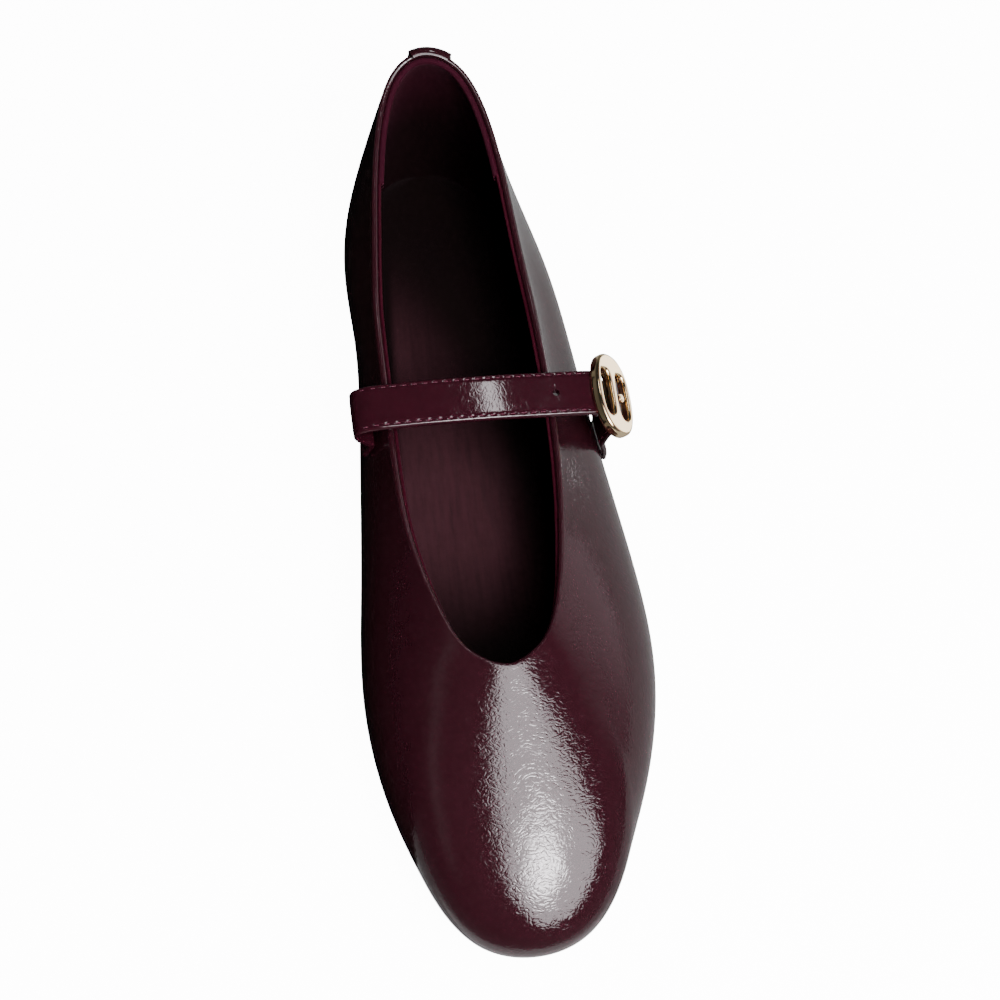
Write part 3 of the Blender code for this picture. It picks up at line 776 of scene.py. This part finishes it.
INSOLE_TOP = OUTSOLE_THICKNESS + CLEARANCE + INSOLE_THICKNESS
INSOLE_GAP = 0.15 * MM
INSOLE_COLUMNS = 60
EDGE_RISE = 0.9 * MM
MIDDLE_SAG = 0.3 * MM
COVER_DEPTH = 1.6 * MM
halves = halves_of(lining_outline(INSOLE_TOP, INSOLE_GAP)[:, :2])
insole_grid = sole_rows(halves, lambda y: sole_lift(y) + INSOLE_TOP, 260, INSOLE_COLUMNS)
across = np.abs(np.linspace(-1, 1, INSOLE_COLUMNS))[:, None]
insole_grid[:, :, 2] += EDGE_RISE * across**4 - MIDDLE_SAG * (1 - across**2)
insole = bent_grid("insole_cover", insole_grid, INSOLE, weld=False)
select_faces(insole, lambda middle, normal: True)
bpy.ops.mesh.extrude_region_move(TRANSFORM_OT_translate={"value": (0, 0, -COVER_DEPTH)})
bpy.ops.mesh.select_all(action="SELECT")
bpy.ops.mesh.normals_make_consistent(inside=False)
bpy.ops.object.mode_set(mode="OBJECT")
add_modifier(insole, "BEVEL", width=0.5 * MM, segments=3, angle_limit=math.radians(50))
apply_modifiers(insole)

# %% [markdown]
# ## Where strap and tab run
#
# The strap is sewn on just under the medial topline, turns over it and reaches under the buckle's
# inner rim. The tab rises from the lateral wall behind the buckle and comes up in its outer window.
# Both are bands along a path in the plane across the shoe, worked out from the wall at each edge.

# %% Work out the two paths
STRAP_ALONG = 0.417
STRAP_WIDTH = 13.5 * MM
STRAP_THICKNESS = 2 * MM
STRAP_RISE = 4.7 * MM
STRAP_STAND_OFF = 8.7 * MM
BUCKLE_LENGTH = 25 * MM
BUCKLE_WIDTH = 16 * MM
BUCKLE_THICKNESS = 3.2 * MM
BUCKLE_TILT = 48
BUCKLE_REACH = 16.7 * MM
BUCKLE_DROP = 1.2 * MM
WINDOW_LENGTH = 14 * MM
WINDOW_WIDTH = 4.6 * MM
BAR_WIDTH = 2.4 * MM
TAB_WIDTH = WINDOW_LENGTH - 2 * MM
TAB_THICKNESS = 1.6 * MM
STRAP_LIFT_OFF = ((0.50, 0), (0.535, 0.1 * MM), (0.57, 0.6 * MM))
TAB_LIFT_OFF = ((0.24, 0), (0.28, 0.1 * MM), (0.33, 0.4 * MM), (0.37, 1.1 * MM))
STRAP_TURN = table("out rise", (0.62, -1.10), (0.92, -0.42), (1.00, 0.18), (0.85, 0.62), (0.40, 0.89))
STRAP_ARCH = table("across rise", (0.12, 0.98), (0.33, 1.00), (0.62, 0.92), (0.90, 0.70))
STRAP_END = (-0.86, -0.62)
TAB_END = table("across under", (0.95, 1.60), (0.80, 0.20), (0.46, -1.25), (0.10, -0.10), (0.00, 0.00))
DENSE_AT = np.linspace(0, GIRTH, 1440, endpoint=False)
DENSE_WALL = np.swapaxes(wall(DENSE_AT, np.linspace(0, 1, 80)), 0, 1)


def wall_section(side, y):
    """The x and z of the upper's outside where a plane across the shoe cuts one side of it."""
    points = []
    for row in DENSE_WALL:
        half = row[np.sign(row[:, 0]) == side]
        half = half[np.argsort(half[:, 1])]
        points.append([np.interp(y, half[:, 1], half[:, 0]), np.interp(y, half[:, 1], half[:, 2])])
    return np.array(points)


def beside_wall(side, y, seat, places_up):
    """Places beside the wall: for each its share of the height and its distance past the seat."""
    x, z = wall_section(side, y).T
    lean = np.gradient(x, z)
    places = []
    for share, off in places_up:
        height = share * BACK_HEIGHT
        out = side * np.array([1, -np.interp(height, z, lean)])
        places.append((np.interp(height, z, x), height) + (seat + off) * out / np.linalg.norm(out))
    return places


def run_of(path):
    """The length of a path up to each of its points."""
    return np.concatenate([[0], np.cumsum(np.linalg.norm(np.diff(path, axis=0), axis=1))])


def smooth_path(points, count):
    """Even steps along a smooth open curve through the points."""
    points = np.asarray(points, float)
    ends = np.concatenate([[2 * points[0] - points[1]], points, [2 * points[-1] - points[-2]]])
    fine = []
    for a, b, c, d in zip(ends, ends[1:], ends[2:], ends[3:]):
        for t in np.linspace(0, 1, 24, endpoint=False):
            square, cube = 2 * a - 5 * b + 4 * c - d, 3 * b - a - 3 * c + d
            fine.append(0.5 * (2 * b + (c - a) * t + square * t**2 + cube * t**3))
    fine = np.array(fine + [points[-1]])
    run = run_of(fine)
    even = np.linspace(0, run[-1], count)
    return np.stack([np.interp(even, run, fine[:, axis]) for axis in (0, 1)], axis=1)


BAND_Y = forward(STRAP_ALONG)
MEDIAL_TOP = wall_section(-1, BAND_Y)[-1]
LATERAL_TOP = wall_section(1, BAND_Y)[-1]
tilt = math.radians(BUCKLE_TILT)
ACROSS = np.array([math.cos(tilt), -math.sin(tilt)])
FACING = np.array([math.sin(tilt), math.cos(tilt)])
BUCKLE_MIDDLE = LATERAL_TOP + np.array([BUCKLE_REACH, -BUCKLE_DROP])


def under_buckle(thickness):
    """A point under the buckle's middle, where a band of this thickness has its middle layer."""
    return BUCKLE_MIDDLE - FACING * (BUCKLE_THICKNESS / 2 + CLEARANCE + thickness / 2)


def strap_route(y):
    """The points that the strap's middle layer passes, across the shoe at this y."""
    span, under = LATERAL_TOP[0] - MEDIAL_TOP[0], under_buckle(STRAP_THICKNESS)
    seat = beside_wall(-1, y, CLEARANCE + STRAP_THICKNESS / 2, STRAP_LIFT_OFF)
    turned, arched = (zip(*shares.values()) for shares in (STRAP_TURN, STRAP_ARCH))
    turn = [MEDIAL_TOP + (-out * STRAP_STAND_OFF, rise * STRAP_RISE) for out, rise in turned]
    arch = [MEDIAL_TOP + (share * span, rise * STRAP_RISE) for share, rise in arched]
    return seat + turn + arch + [under + ACROSS * share * BUCKLE_WIDTH / 2 for share in STRAP_END]


def tab_route(y):
    """The points that the buckle tab's middle layer passes, across the shoe at this y."""
    under = under_buckle(TAB_THICKNESS)
    seat = beside_wall(1, y, CLEARANCE + TAB_THICKNESS / 2, TAB_LIFT_OFF)
    return seat + [
        under + ACROSS * share * BUCKLE_WIDTH / 2 - FACING * low * TAB_THICKNESS
        for share, low in zip(*TAB_END.values())
    ]


print("buckle middle in mm:", (BUCKLE_MIDDLE / MM).round(1))
for name, route in (("strap", strap_route), ("buckle tab", tab_route)):
    steps = np.diff(smooth_path(route(BAND_Y), 1200), axis=0)
    print(name, "length in mm:", round(np.linalg.norm(steps, axis=1).sum() / MM, 1))

# %% [markdown]
# ## Strap and buckle tab
#
# Each band is a tube whose section is flat with rounded sides. On top the leather is drawn down
# along the two rows of stitches, deepest where each stitch goes through, as it is when thread is
# pulled tight.


# %% Bend the two bands
STITCH_PITCH = 2.85 * MM
STITCH_INSET = 1.2 * MM
STITCH_SINK = 0.06 * MM
STITCH_LOOK = 0.5 * MM
STITCH_LENGTH = 1.45 * MM
STITCH_THICKNESS = 0.3 * MM


ROUND_SIDE = 0.8 * MM
DIP_WIDTH = 0.38 * MM
DIP = (0.09, 0.16)
CROWN = 0.1 * MM
TOP_SINK = 0.05 * MM


def band_layers(route, steps, along_y):
    """The path of a band's middle layer at these distances from its centre line, with normals."""
    paths = np.stack([smooth_path(route(BAND_Y + y), steps) for y in along_y], axis=1)
    run = np.gradient(paths, axis=0)
    normal = unit(np.stack([-run[..., 1], run[..., 0]], axis=-1))
    return paths, normal


def band(name, route, width, thickness, steps, surface):
    """A closed band along a route, with a flat section, round sides and drawn-in stitch lines."""
    half = width / 2
    side = half - ROUND_SIDE * (1 - np.sin(np.linspace(0, math.pi / 2, 6)))
    y = np.concatenate([np.linspace(0, half - ROUND_SIDE, 20)[:-1], side])
    y = np.concatenate([-y[:0:-1], y])
    past_flat = np.clip(np.abs(y) - half + ROUND_SIDE, 0, None) / ROUND_SIDE
    rise = np.sqrt(np.clip(1 - past_flat**2, 0, 1))
    paths, normal = band_layers(route, steps, y)
    run = np.linalg.norm(paths[-1] - paths[-2], axis=1)[None] * np.arange(steps)[:, None]
    near_row = np.exp(-(((np.abs(y) - (half - STITCH_INSET)) / DIP_WIDTH) ** 2))
    at_end = (0.5 + 0.5 * np.cos(2 * math.pi * run / STITCH_PITCH)) ** 2
    dip = near_row * (DIP[0] + DIP[1] * at_end) * MM
    crown = CROWN * (1 - (y / half) ** 2)
    lift = (thickness / 2 - dip + crown - TOP_SINK) * rise
    across = np.repeat((BAND_Y + y)[None], steps, 0)
    above, below = (
        np.stack([sheet[..., 0], across, sheet[..., 1]], axis=-1)
        for sheet in (paths + normal * lift[:, :, None], paths - normal * (thickness / 2 * rise)[:, None])
    )
    return bent_grid(name, np.concatenate([above, below[:, -2:0:-1], above[:, :1]], axis=1), surface)


strap = band("instep_strap", strap_route, STRAP_WIDTH, STRAP_THICKNESS, 420, STRAP_PATENT)
buckle_tab = band("buckle_tab_leather", tab_route, TAB_WIDTH, TAB_THICKNESS, 120, TAB_PATENT)

# %% [markdown]
# ## Stitches
#
# A lockstitch shows as short slanted dashes of thread, each sunk at its ends. One stitch is a small
# sphere drawn out to its length. Its points are copied along the row as one mesh, because hundreds
# of separate objects would be slow.


# %% Sew the rows
def stitches(name, rows, surface):
    """Stitches at given middles, each with its direction along the row and its direction out."""
    bpy.ops.object.select_all(action="DESELECT")
    bpy.ops.mesh.primitive_uv_sphere_add(segments=10, ring_count=8, radius=1)
    start = bpy.context.active_object
    ball = np.array([v.co for v in start.data.vertices])
    faces = [tuple(face.vertices) for face in start.data.polygons]
    bpy.data.objects.remove(start)
    ball = ball[:, [2, 1, 0]] * (1, 1, -1)
    ball[:, 0] = np.sign(ball[:, 0]) * np.abs(ball[:, 0]) ** 0.8
    size = np.array([STITCH_LENGTH, STITCH_THICKNESS, STITCH_THICKNESS]) / 2
    points, loops = [], []
    for count, (middle, along, out) in enumerate(rows):
        side = np.cross(out, along)
        frame_ = np.stack([along, side, out])
        dip = ball.copy()
        dip[:, 2] -= 0.5 * ball[:, 0] ** 2
        points.append(middle + (dip * size) @ frame_)
        loops += [tuple(index + count * len(ball) for index in face) for face in faces]
    mesh = bpy.data.meshes.new(name)
    mesh.from_pydata(np.concatenate(points).tolist(), [], loops)
    mesh.materials.append(surface)
    piece = bpy.data.objects.new(name, mesh)
    bpy.context.scene.collection.objects.link(piece)
    mesh.shade_smooth()
    print(name, "stitches:", len(rows))
    return piece


def walk(route, offset=0.0):
    """A band's length at a distance from its centre line, and its x and z at places along it."""
    fine = smooth_path(route(BAND_Y + offset), 1200)
    run = run_of(fine)
    return run[-1], lambda place: np.array([np.interp(place, run, fine[:, axis]) for axis in (0, 1)])


def sewn_rows(route, width, thickness, begin, end):
    """Stitch places along both sides of a band, between two shares of its length."""
    rows = []
    for offset in (STITCH_INSET - width / 2, width / 2 - STITCH_INSET):
        length, at_place = walk(route, offset)
        for place in np.arange(length * begin + STITCH_PITCH / 2, length * end, STITCH_PITCH):
            step = unit(at_place(place + STITCH_LOOK) - at_place(place - STITCH_LOOK))
            out = np.array([-step[1], 0, step[0]])
            x, z = at_place(place)
            middle = np.array([x, BAND_Y + offset, z]) + out * (thickness / 2 - STITCH_SINK)
            rows.append((middle, np.array([step[0], 0, step[1]]), out))
    return rows


strap_rows = sewn_rows(strap_route, STRAP_WIDTH, STRAP_THICKNESS, 0.2, 0.97)
strap_thread = stitches("strap_stitches", strap_rows, THREAD)
tab_rows = sewn_rows(tab_route, TAB_WIDTH, TAB_THICKNESS, 0.0, 0.6)
tab_thread = stitches("tab_stitches", tab_rows, THREAD)

# %% [markdown]
# The grip's two ends are held by bar tacks, a few stitches side by side across the seam. The heel
# tab has two short rows, near its sides.

# %% Tack the grip and the heel tab
tack_rows = []
for end in (GRIP_REACH[0] - 0.4 * MM, 0.4 * MM - GRIP_REACH[1]):
    tack_at = end + np.arange(-2, 3) * 0.42 * MM
    edge_depth = turned_edge(tack_at)[:, None] + GRIP_PAD
    top, out, up = (grid[:, 0] for grid in wall_frame(tack_at, [1.0]))
    middles = top - out * (edge_depth - 0.15 * MM) - up * 1.2 * MM
    tack_rows += [(middle, rise, -facing) for middle, rise, facing in zip(middles, up, out)]
for side in (-1, 1):
    tack_at = np.full(3, side * (HEEL_TAB_WIDTH / 2 - 1.1 * MM))
    top, out, up = (grid[:, 0] for grid in wall_frame(tack_at, [1.0]))
    down = np.array([[0.3], [2.6], [4.9]]) * MM
    middles = top + out * (HEEL_TAB_THICKNESS + 0.08 * MM) - up * (down + turned_edge(tack_at)[:, None] / 2)
    tack_rows += [(middle, rise, facing) for middle, rise, facing in zip(middles, up, out)]
tacks = stitches("tack_stitches", tack_rows, THREAD)

# %% [markdown]
# A hole is punched in the strap beside the buckle, for a wider setting. A cylinder stands through
# the strap there and a Boolean modifier takes it away.


# %% Punch the hole
HOLE_TO_BUCKLE = 12 * MM
HOLE_RADIUS = 0.95 * MM
length, at_place = walk(strap_route)
spot = at_place(length - HOLE_TO_BUCKLE)
ahead = at_place(length - HOLE_TO_BUCKLE + MM) - spot
lean = math.atan2(ahead[1], ahead[0])
bpy.ops.object.select_all(action="DESELECT")
bpy.ops.mesh.primitive_cylinder_add(
    vertices=32,
    radius=HOLE_RADIUS,
    depth=4 * STRAP_THICKNESS,
    location=(spot[0], BAND_Y, spot[1]),
    rotation=(0, -lean, 0),
)
punch = bpy.context.active_object
add_modifier(strap, "BOOLEAN", operation="DIFFERENCE", object=punch, solver="EXACT")
apply_modifiers(strap)
bpy.data.objects.remove(punch)
print("hole at x, z in mm:", (spot / MM).round(1))

# %% [markdown]
# ## The buckle
#
# The buckle is a pebble of cast metal, with two windows and a bar between them. Its rim and its
# windows are three closed curves that start as Bezier circles. Their handles are drawn out, which
# makes them squarer than an ellipse. As one flat filled curve they get the metal's depth from
# Extrude and its round edges from Bevel. Remesh and Smooth then soften every corner, as tumbling
# does before the plating.


# %% Draw the curves and cast them
BUCKLE_ROUNDING = 0.95 * MM
RIM_FULLNESS = 0.64
WINDOW_FULLNESS = 0.80


def oval(half_width, half_length, centre, fullness):
    """A closed curve with four points, as square as its fullness. A true ellipse has 0.55."""
    bpy.ops.curve.primitive_bezier_circle_add(radius=1)
    made = bpy.context.active_object
    corners = ((-1, 0), (0, 1), (1, 0), (0, -1))
    for point, (x, y) in zip(made.data.splines[0].bezier_points, corners):
        point.handle_left_type = point.handle_right_type = "FREE"
        middle = Vector((centre + x * half_width, y * half_length, 0))
        handle = Vector((y * half_width, -x * half_length, 0)) * fullness
        point.co = middle
        point.handle_left, point.handle_right = middle - handle, middle + handle
    return made


def seat_on_buckle(piece):
    """Moves a piece from the buckle's own plane, x across it and z out of its face, to the shoe."""
    x, z = Vector((ACROSS[0], 0, ACROSS[1])), Vector((FACING[0], 0, FACING[1]))
    turn = Matrix((x, z.cross(x), z)).transposed().to_4x4()
    place = Matrix.Translation((BUCKLE_MIDDLE[0], BAND_Y, BUCKLE_MIDDLE[1]))
    piece.data.transform(place @ turn)


bpy.ops.object.select_all(action="DESELECT")
shift = (BAR_WIDTH + WINDOW_WIDTH) / 2
ovals = [oval(BUCKLE_WIDTH / 2, BUCKLE_LENGTH / 2, 0, RIM_FULLNESS)]
ovals += [oval(WINDOW_WIDTH / 2, WINDOW_LENGTH / 2, side * shift, WINDOW_FULLNESS) for side in (-1, 1)]
for made in ovals:
    made.select_set(True)
bpy.context.view_layer.objects.active = ovals[0]
bpy.ops.object.join()
buckle = bpy.context.active_object
buckle.name = "oval_buckle"
outline = buckle.data
outline.dimensions = "2D"
outline.fill_mode = "BOTH"
outline.resolution_u = 24
outline.bevel_depth = BUCKLE_ROUNDING
outline.bevel_resolution = 6
outline.extrude = BUCKLE_THICKNESS / 2 - BUCKLE_ROUNDING
outline.offset = -BUCKLE_ROUNDING
bpy.ops.object.convert(target="MESH")
buckle.data.name = "oval_buckle"
buckle.data.materials.append(GOLD)
add_modifier(buckle, "WELD", merge_threshold=0.001 * MM)
add_modifier(buckle, "REMESH", mode="VOXEL", voxel_size=0.16 * MM)
add_modifier(buckle, "SMOOTH", factor=0.5, iterations=6)
apply_modifiers(buckle)
bpy.ops.object.shade_smooth()
shape = np.array([v.co for v in buckle.data.vertices])
shape *= np.array([BUCKLE_WIDTH, BUCKLE_LENGTH, BUCKLE_THICKNESS]) / np.ptp(shape, axis=0)
buckle.data.vertices.foreach_set("co", shape.ravel())
seat_on_buckle(buckle)
print("buckle faces:", len(buckle.data.polygons))

# %% [markdown]
# ## The prong's stud
#
# In the outer window a small stud holds the tab. It is turned: a cylinder whose end is inset, drawn
# up and rounded.

# %% Turn the stud
bpy.ops.object.select_all(action="DESELECT")
bpy.ops.mesh.primitive_cylinder_add(vertices=40, radius=1.2 * MM, depth=1.9 * MM)
stud = bpy.context.active_object
stud.name = stud.data.name = "prong_stud"
stud.data.materials.append(GOLD)
select_faces(stud, lambda middle, normal: normal.z > 0.9)
bpy.ops.mesh.inset(thickness=0.12 * MM)
bpy.ops.mesh.extrude_region_move(TRANSFORM_OT_translate={"value": (0, 0, 0.25 * MM)})
bpy.ops.mesh.inset(thickness=0.25 * MM)
bpy.ops.mesh.extrude_region_move(TRANSFORM_OT_translate={"value": (0, 0, 0.2 * MM)})
bpy.ops.mesh.inset(thickness=0.3 * MM)
bpy.ops.mesh.extrude_region_move(TRANSFORM_OT_translate={"value": (0, 0, 0.08 * MM)})
bpy.ops.object.mode_set(mode="OBJECT")
add_modifier(stud, "BEVEL", width=0.12 * MM, segments=3, angle_limit=math.radians(25))
apply_modifiers(stud)
stud.data.transform(Matrix.Translation((shift + 0.1 * MM, 0, -0.1 * MM)))
seat_on_buckle(stud)

# %% [markdown]
# ## Floor, light and dark
#
# The photograph's ground is burnt out to white, while what the patent leather mirrors of it is a
# middle grey. So the white sweep is seen by the camera alone, and a grey floor is what the soft
# light sees. Cards that only the gloss sees do the rest, as in a real studio: black ones lie and
# stand off the inner side, a pale one lies before the toe and a small white one faces the buckle.
# Softboxes give the soft light, unseen by the gloss. What the gloss sees is glowing silk, whose light
# fades toward its sides: a long sheet over the toe, which is the bright patch on the vamp, a narrow
# one for the strap, a dim one off the inner side and a wall off the outer side. The rest of the
# studio is dim, which keeps the leather dark.


# %% Lay the floor and its sweep
def paper(name, grey, glow=0.0):
    """Matt studio paper, which may glow."""
    made, tree, shader = finish(name)
    feed(tree, shader, {"Base Color": linear(grey), "Roughness": 0.9, "Specular IOR Level": 0.0})
    feed(tree, shader, {"Emission Color": (1, 1, 1, 1), "Emission Strength": glow})
    return made


def stage(name, surface, seen):
    """Names a new stage piece and shows it to the camera alone, or to all but the camera."""
    piece = bpy.context.active_object
    piece.name = piece.data.name = name
    piece.data.materials.append(surface)
    piece.visible_camera = seen
    piece.visible_diffuse = piece.visible_glossy = piece.visible_shadow = not seen
    return piece


WHITE_PAPER = paper("white_sweep_paper", "#e8e8e8", 13.0)
bpy.ops.object.select_all(action="DESELECT")
bpy.ops.mesh.primitive_plane_add(size=8)
stage("white_floor", WHITE_PAPER, True)
bpy.ops.mesh.primitive_uv_sphere_add(segments=48, ring_count=24, radius=3.9)
stage("white_sweep", WHITE_PAPER, True)
bpy.ops.mesh.primitive_plane_add(size=8, location=(0, 0, -0.1 * MM))
stage("grey_floor", paper("grey_floor_paper", "#a0a0a0"), False)


# %% Set the cards
def card(name, low, high, surface):
    """A flat card between two corners in millimetres, seen by the gloss alone."""
    low, high = np.array(low) * MM, np.array(high) * MM
    size = high - low
    upright = size[0] == 0
    bpy.ops.object.select_all(action="DESELECT")
    bpy.ops.mesh.primitive_plane_add(
        size=1, location=tuple((low + high) / 2), rotation=(0, math.pi / 2 if upright else 0, 0)
    )
    made = bpy.context.active_object
    made.scale = (size[2], size[1], 1) if upright else (size[0], size[1], 1)
    bpy.ops.object.transform_apply(location=True, rotation=True, scale=True)
    stage(name, surface, False)
    made.visible_diffuse = made.visible_shadow = False


def silk(name, brightness, tint, fades, core=None):
    """Glowing silk. A fade is an axis, its lean on X, and where in mm the glow starts and is full."""
    made, tree, shader = finish(name)
    place = node(tree, "TexCoord").outputs["Object"]
    glow = brightness
    for axis, lean, start, full in fades:
        step = ramp(tree, leaning(tree, axis, lean, "X"), start * MM, full * MM)
        glow = node(tree, "Math", {0: step, 1: glow}, operation="MULTIPLY").outputs[0]
    if core:
        middle, reach, extra = core
        away = node(tree, "VectorMath", {0: place, 1: Vector(middle) * MM}, operation="DISTANCE")
        near = ramp(tree, away.outputs["Value"], reach * MM, 0.0)
        glow = node(tree, "Math", {0: near, 1: extra, 2: glow}, operation="MULTIPLY_ADD").outputs[0]
    feed(tree, shader, {"Base Color": (0, 0, 0, 1), "Specular IOR Level": 0.0})
    feed(tree, shader, {"Emission Color": linear(tint), "Emission Strength": glow})
    return made


BLACK_CARD = paper("black_card", "#101010")
card("black_card_flat", (-2000, -186, 0.4), (-10, 150, 0.4), BLACK_CARD)
card("black_card_upright", (-84, -186, 0.4), (-84, 30, 80), BLACK_CARD)
card("pale_card_toe", (-90, -420, 0.2), (60, -216, 0.2), paper("pale_card", "#a0a0a0", 1.0))
overhead_fades = (
    ("X", 0, -130, 0),
    ("X", 0, 1200, 1050),
    ("Y", 0, -1500, -1350),
    ("Y", 0.6, -30, -150),
    ("Y", 1.77, -1010, -830),
    ("Y", -2.4, -3500, -3200),
)
SILK_OVERHEAD = silk("silk_overhead", 9.5, "#fffafd", overhead_fades, ((240, -690, 1000), 230, 65))
card("silk_overhead", (-130, -1500, 1000), (1200, 90, 1000), SILK_OVERHEAD)
strap_fades = (("X", 0, 190, 225), ("X", 0, 290, 255), ("Y", 0, 240, 320), ("Y", 0, 560, 460))
card("silk_strap", (190, 240, 1000), (290, 560, 1000), silk("silk_strap", 14, "#fffafd", strap_fades))
wall_fades = (("Y", 0, -330, 230), ("Y", 0, 640, 430), ("Z", 0, 1500, 700))
card("silk_wall", (1000, -330, 0), (1000, 640, 1500), silk("silk_wall", 1.1, "#ffecf1", wall_fades))
card("white_card_buckle", (92, -64, 20), (92, -14, 52), paper("white_card", "#f0f0f0", 3.4))
inner_fades = (("X", 0, -560, -700), ("X", 0, -950, -800), ("Y", 0, 100, -150), ("Y", 0, -900, -650))
card("silk_inner", (-950, -900, 1000), (-560, 100, 1000), silk("silk_inner", 0.35, "#fff6f8", inner_fades))


# %% Hang the lights
def softbox(name, low, high, aim, brightness):
    """A level rectangle between two corners, or one that faces a point, evenly bright."""
    low, high = Vector(low) * MM, Vector(high) * MM
    middle = (low + high) / 2
    light = bpy.data.lights.new(name, "AREA")
    light.shape = "RECTANGLE"
    made = bpy.data.objects.new(name, light)
    bpy.context.scene.collection.objects.link(made)
    made.location = middle
    if aim is None:
        light.size, light.size_y = high.x - low.x, high.y - low.y
    else:
        light.size, light.size_y = high.y - low.y, high.z - low.z
        made.rotation_euler = (Vector(aim) * MM - middle).to_track_quat("-Z", "Y").to_euler()
    light.energy = brightness * math.pi * light.size * light.size_y
    made.visible_camera = made.visible_glossy = False


softbox("overhead_box", (-70, -1150, 1000), (390, -120, 1000), None, 9.5)
softbox("overhead_glow", (110, -960, 995), (330, -440, 995), None, 9)
softbox("overhead_core", (170, -820, 990), (290, -560, 990), None, 45)
softbox("overhead_side", (390, -1150, 1000), (800, -450, 1000), None, 6)
softbox("outer_wall", (1000, -230, 0), (1000, 900, 620), (0, -70, 40), 1.0)

world = bpy.data.worlds.new("studio_dark")
bpy.context.scene.world = world
world.use_nodes = True
sky = world.node_tree.nodes["Background"]
ray = node(world.node_tree, "TexCoord").outputs["Generated"]
height = node(world.node_tree, "SeparateXYZ", {0: ray}).outputs["Z"]
fade = node(world.node_tree, "MapRange", {0: height, 1: 0.0, 2: 0.5, 3: 0.2, 4: 0.03})
world.node_tree.links.new(fade.outputs[0], sky.inputs["Color"])

# %% [markdown]
# ## The pieces on the body
#
# Nothing on this shoe turns by itself, so every piece rides on the one body. Each stands for the
# solid that it replaces.

# %% Ride and replace
PIECES = (
    (upper, "patent_leather", ("upper",)),
    (lining, "lining_leather", ()),
    (grip, "lining_leather", ()),
    (heel_tab, "patent_leather", ("heel_tab",)),
    (outsole, "sole_rubber", ("outsole",)),
    (heel, "sole_rubber", ("heel",)),
    (insole, "lining_leather", ("insole",)),
    (strap, "patent_leather", ("strap",)),
    (strap_thread, "patent_leather", ()),
    (tacks, "lining_leather", ()),
    (buckle_tab, "patent_leather", ("buckle_tab",)),
    (tab_thread, "patent_leather", ()),
    (buckle, "pale_gold", ("buckle",)),
    (stud, "pale_gold", ("prong",)),
)
triangles = 0
for piece, slot, nodes in PIECES:
    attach(piece, "root")
    if nodes:
        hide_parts(*nodes)
    triangles += sum(len(face.vertices) - 2 for face in piece.data.polygons)
print("pieces:", len(PIECES), "triangles:", triangles)
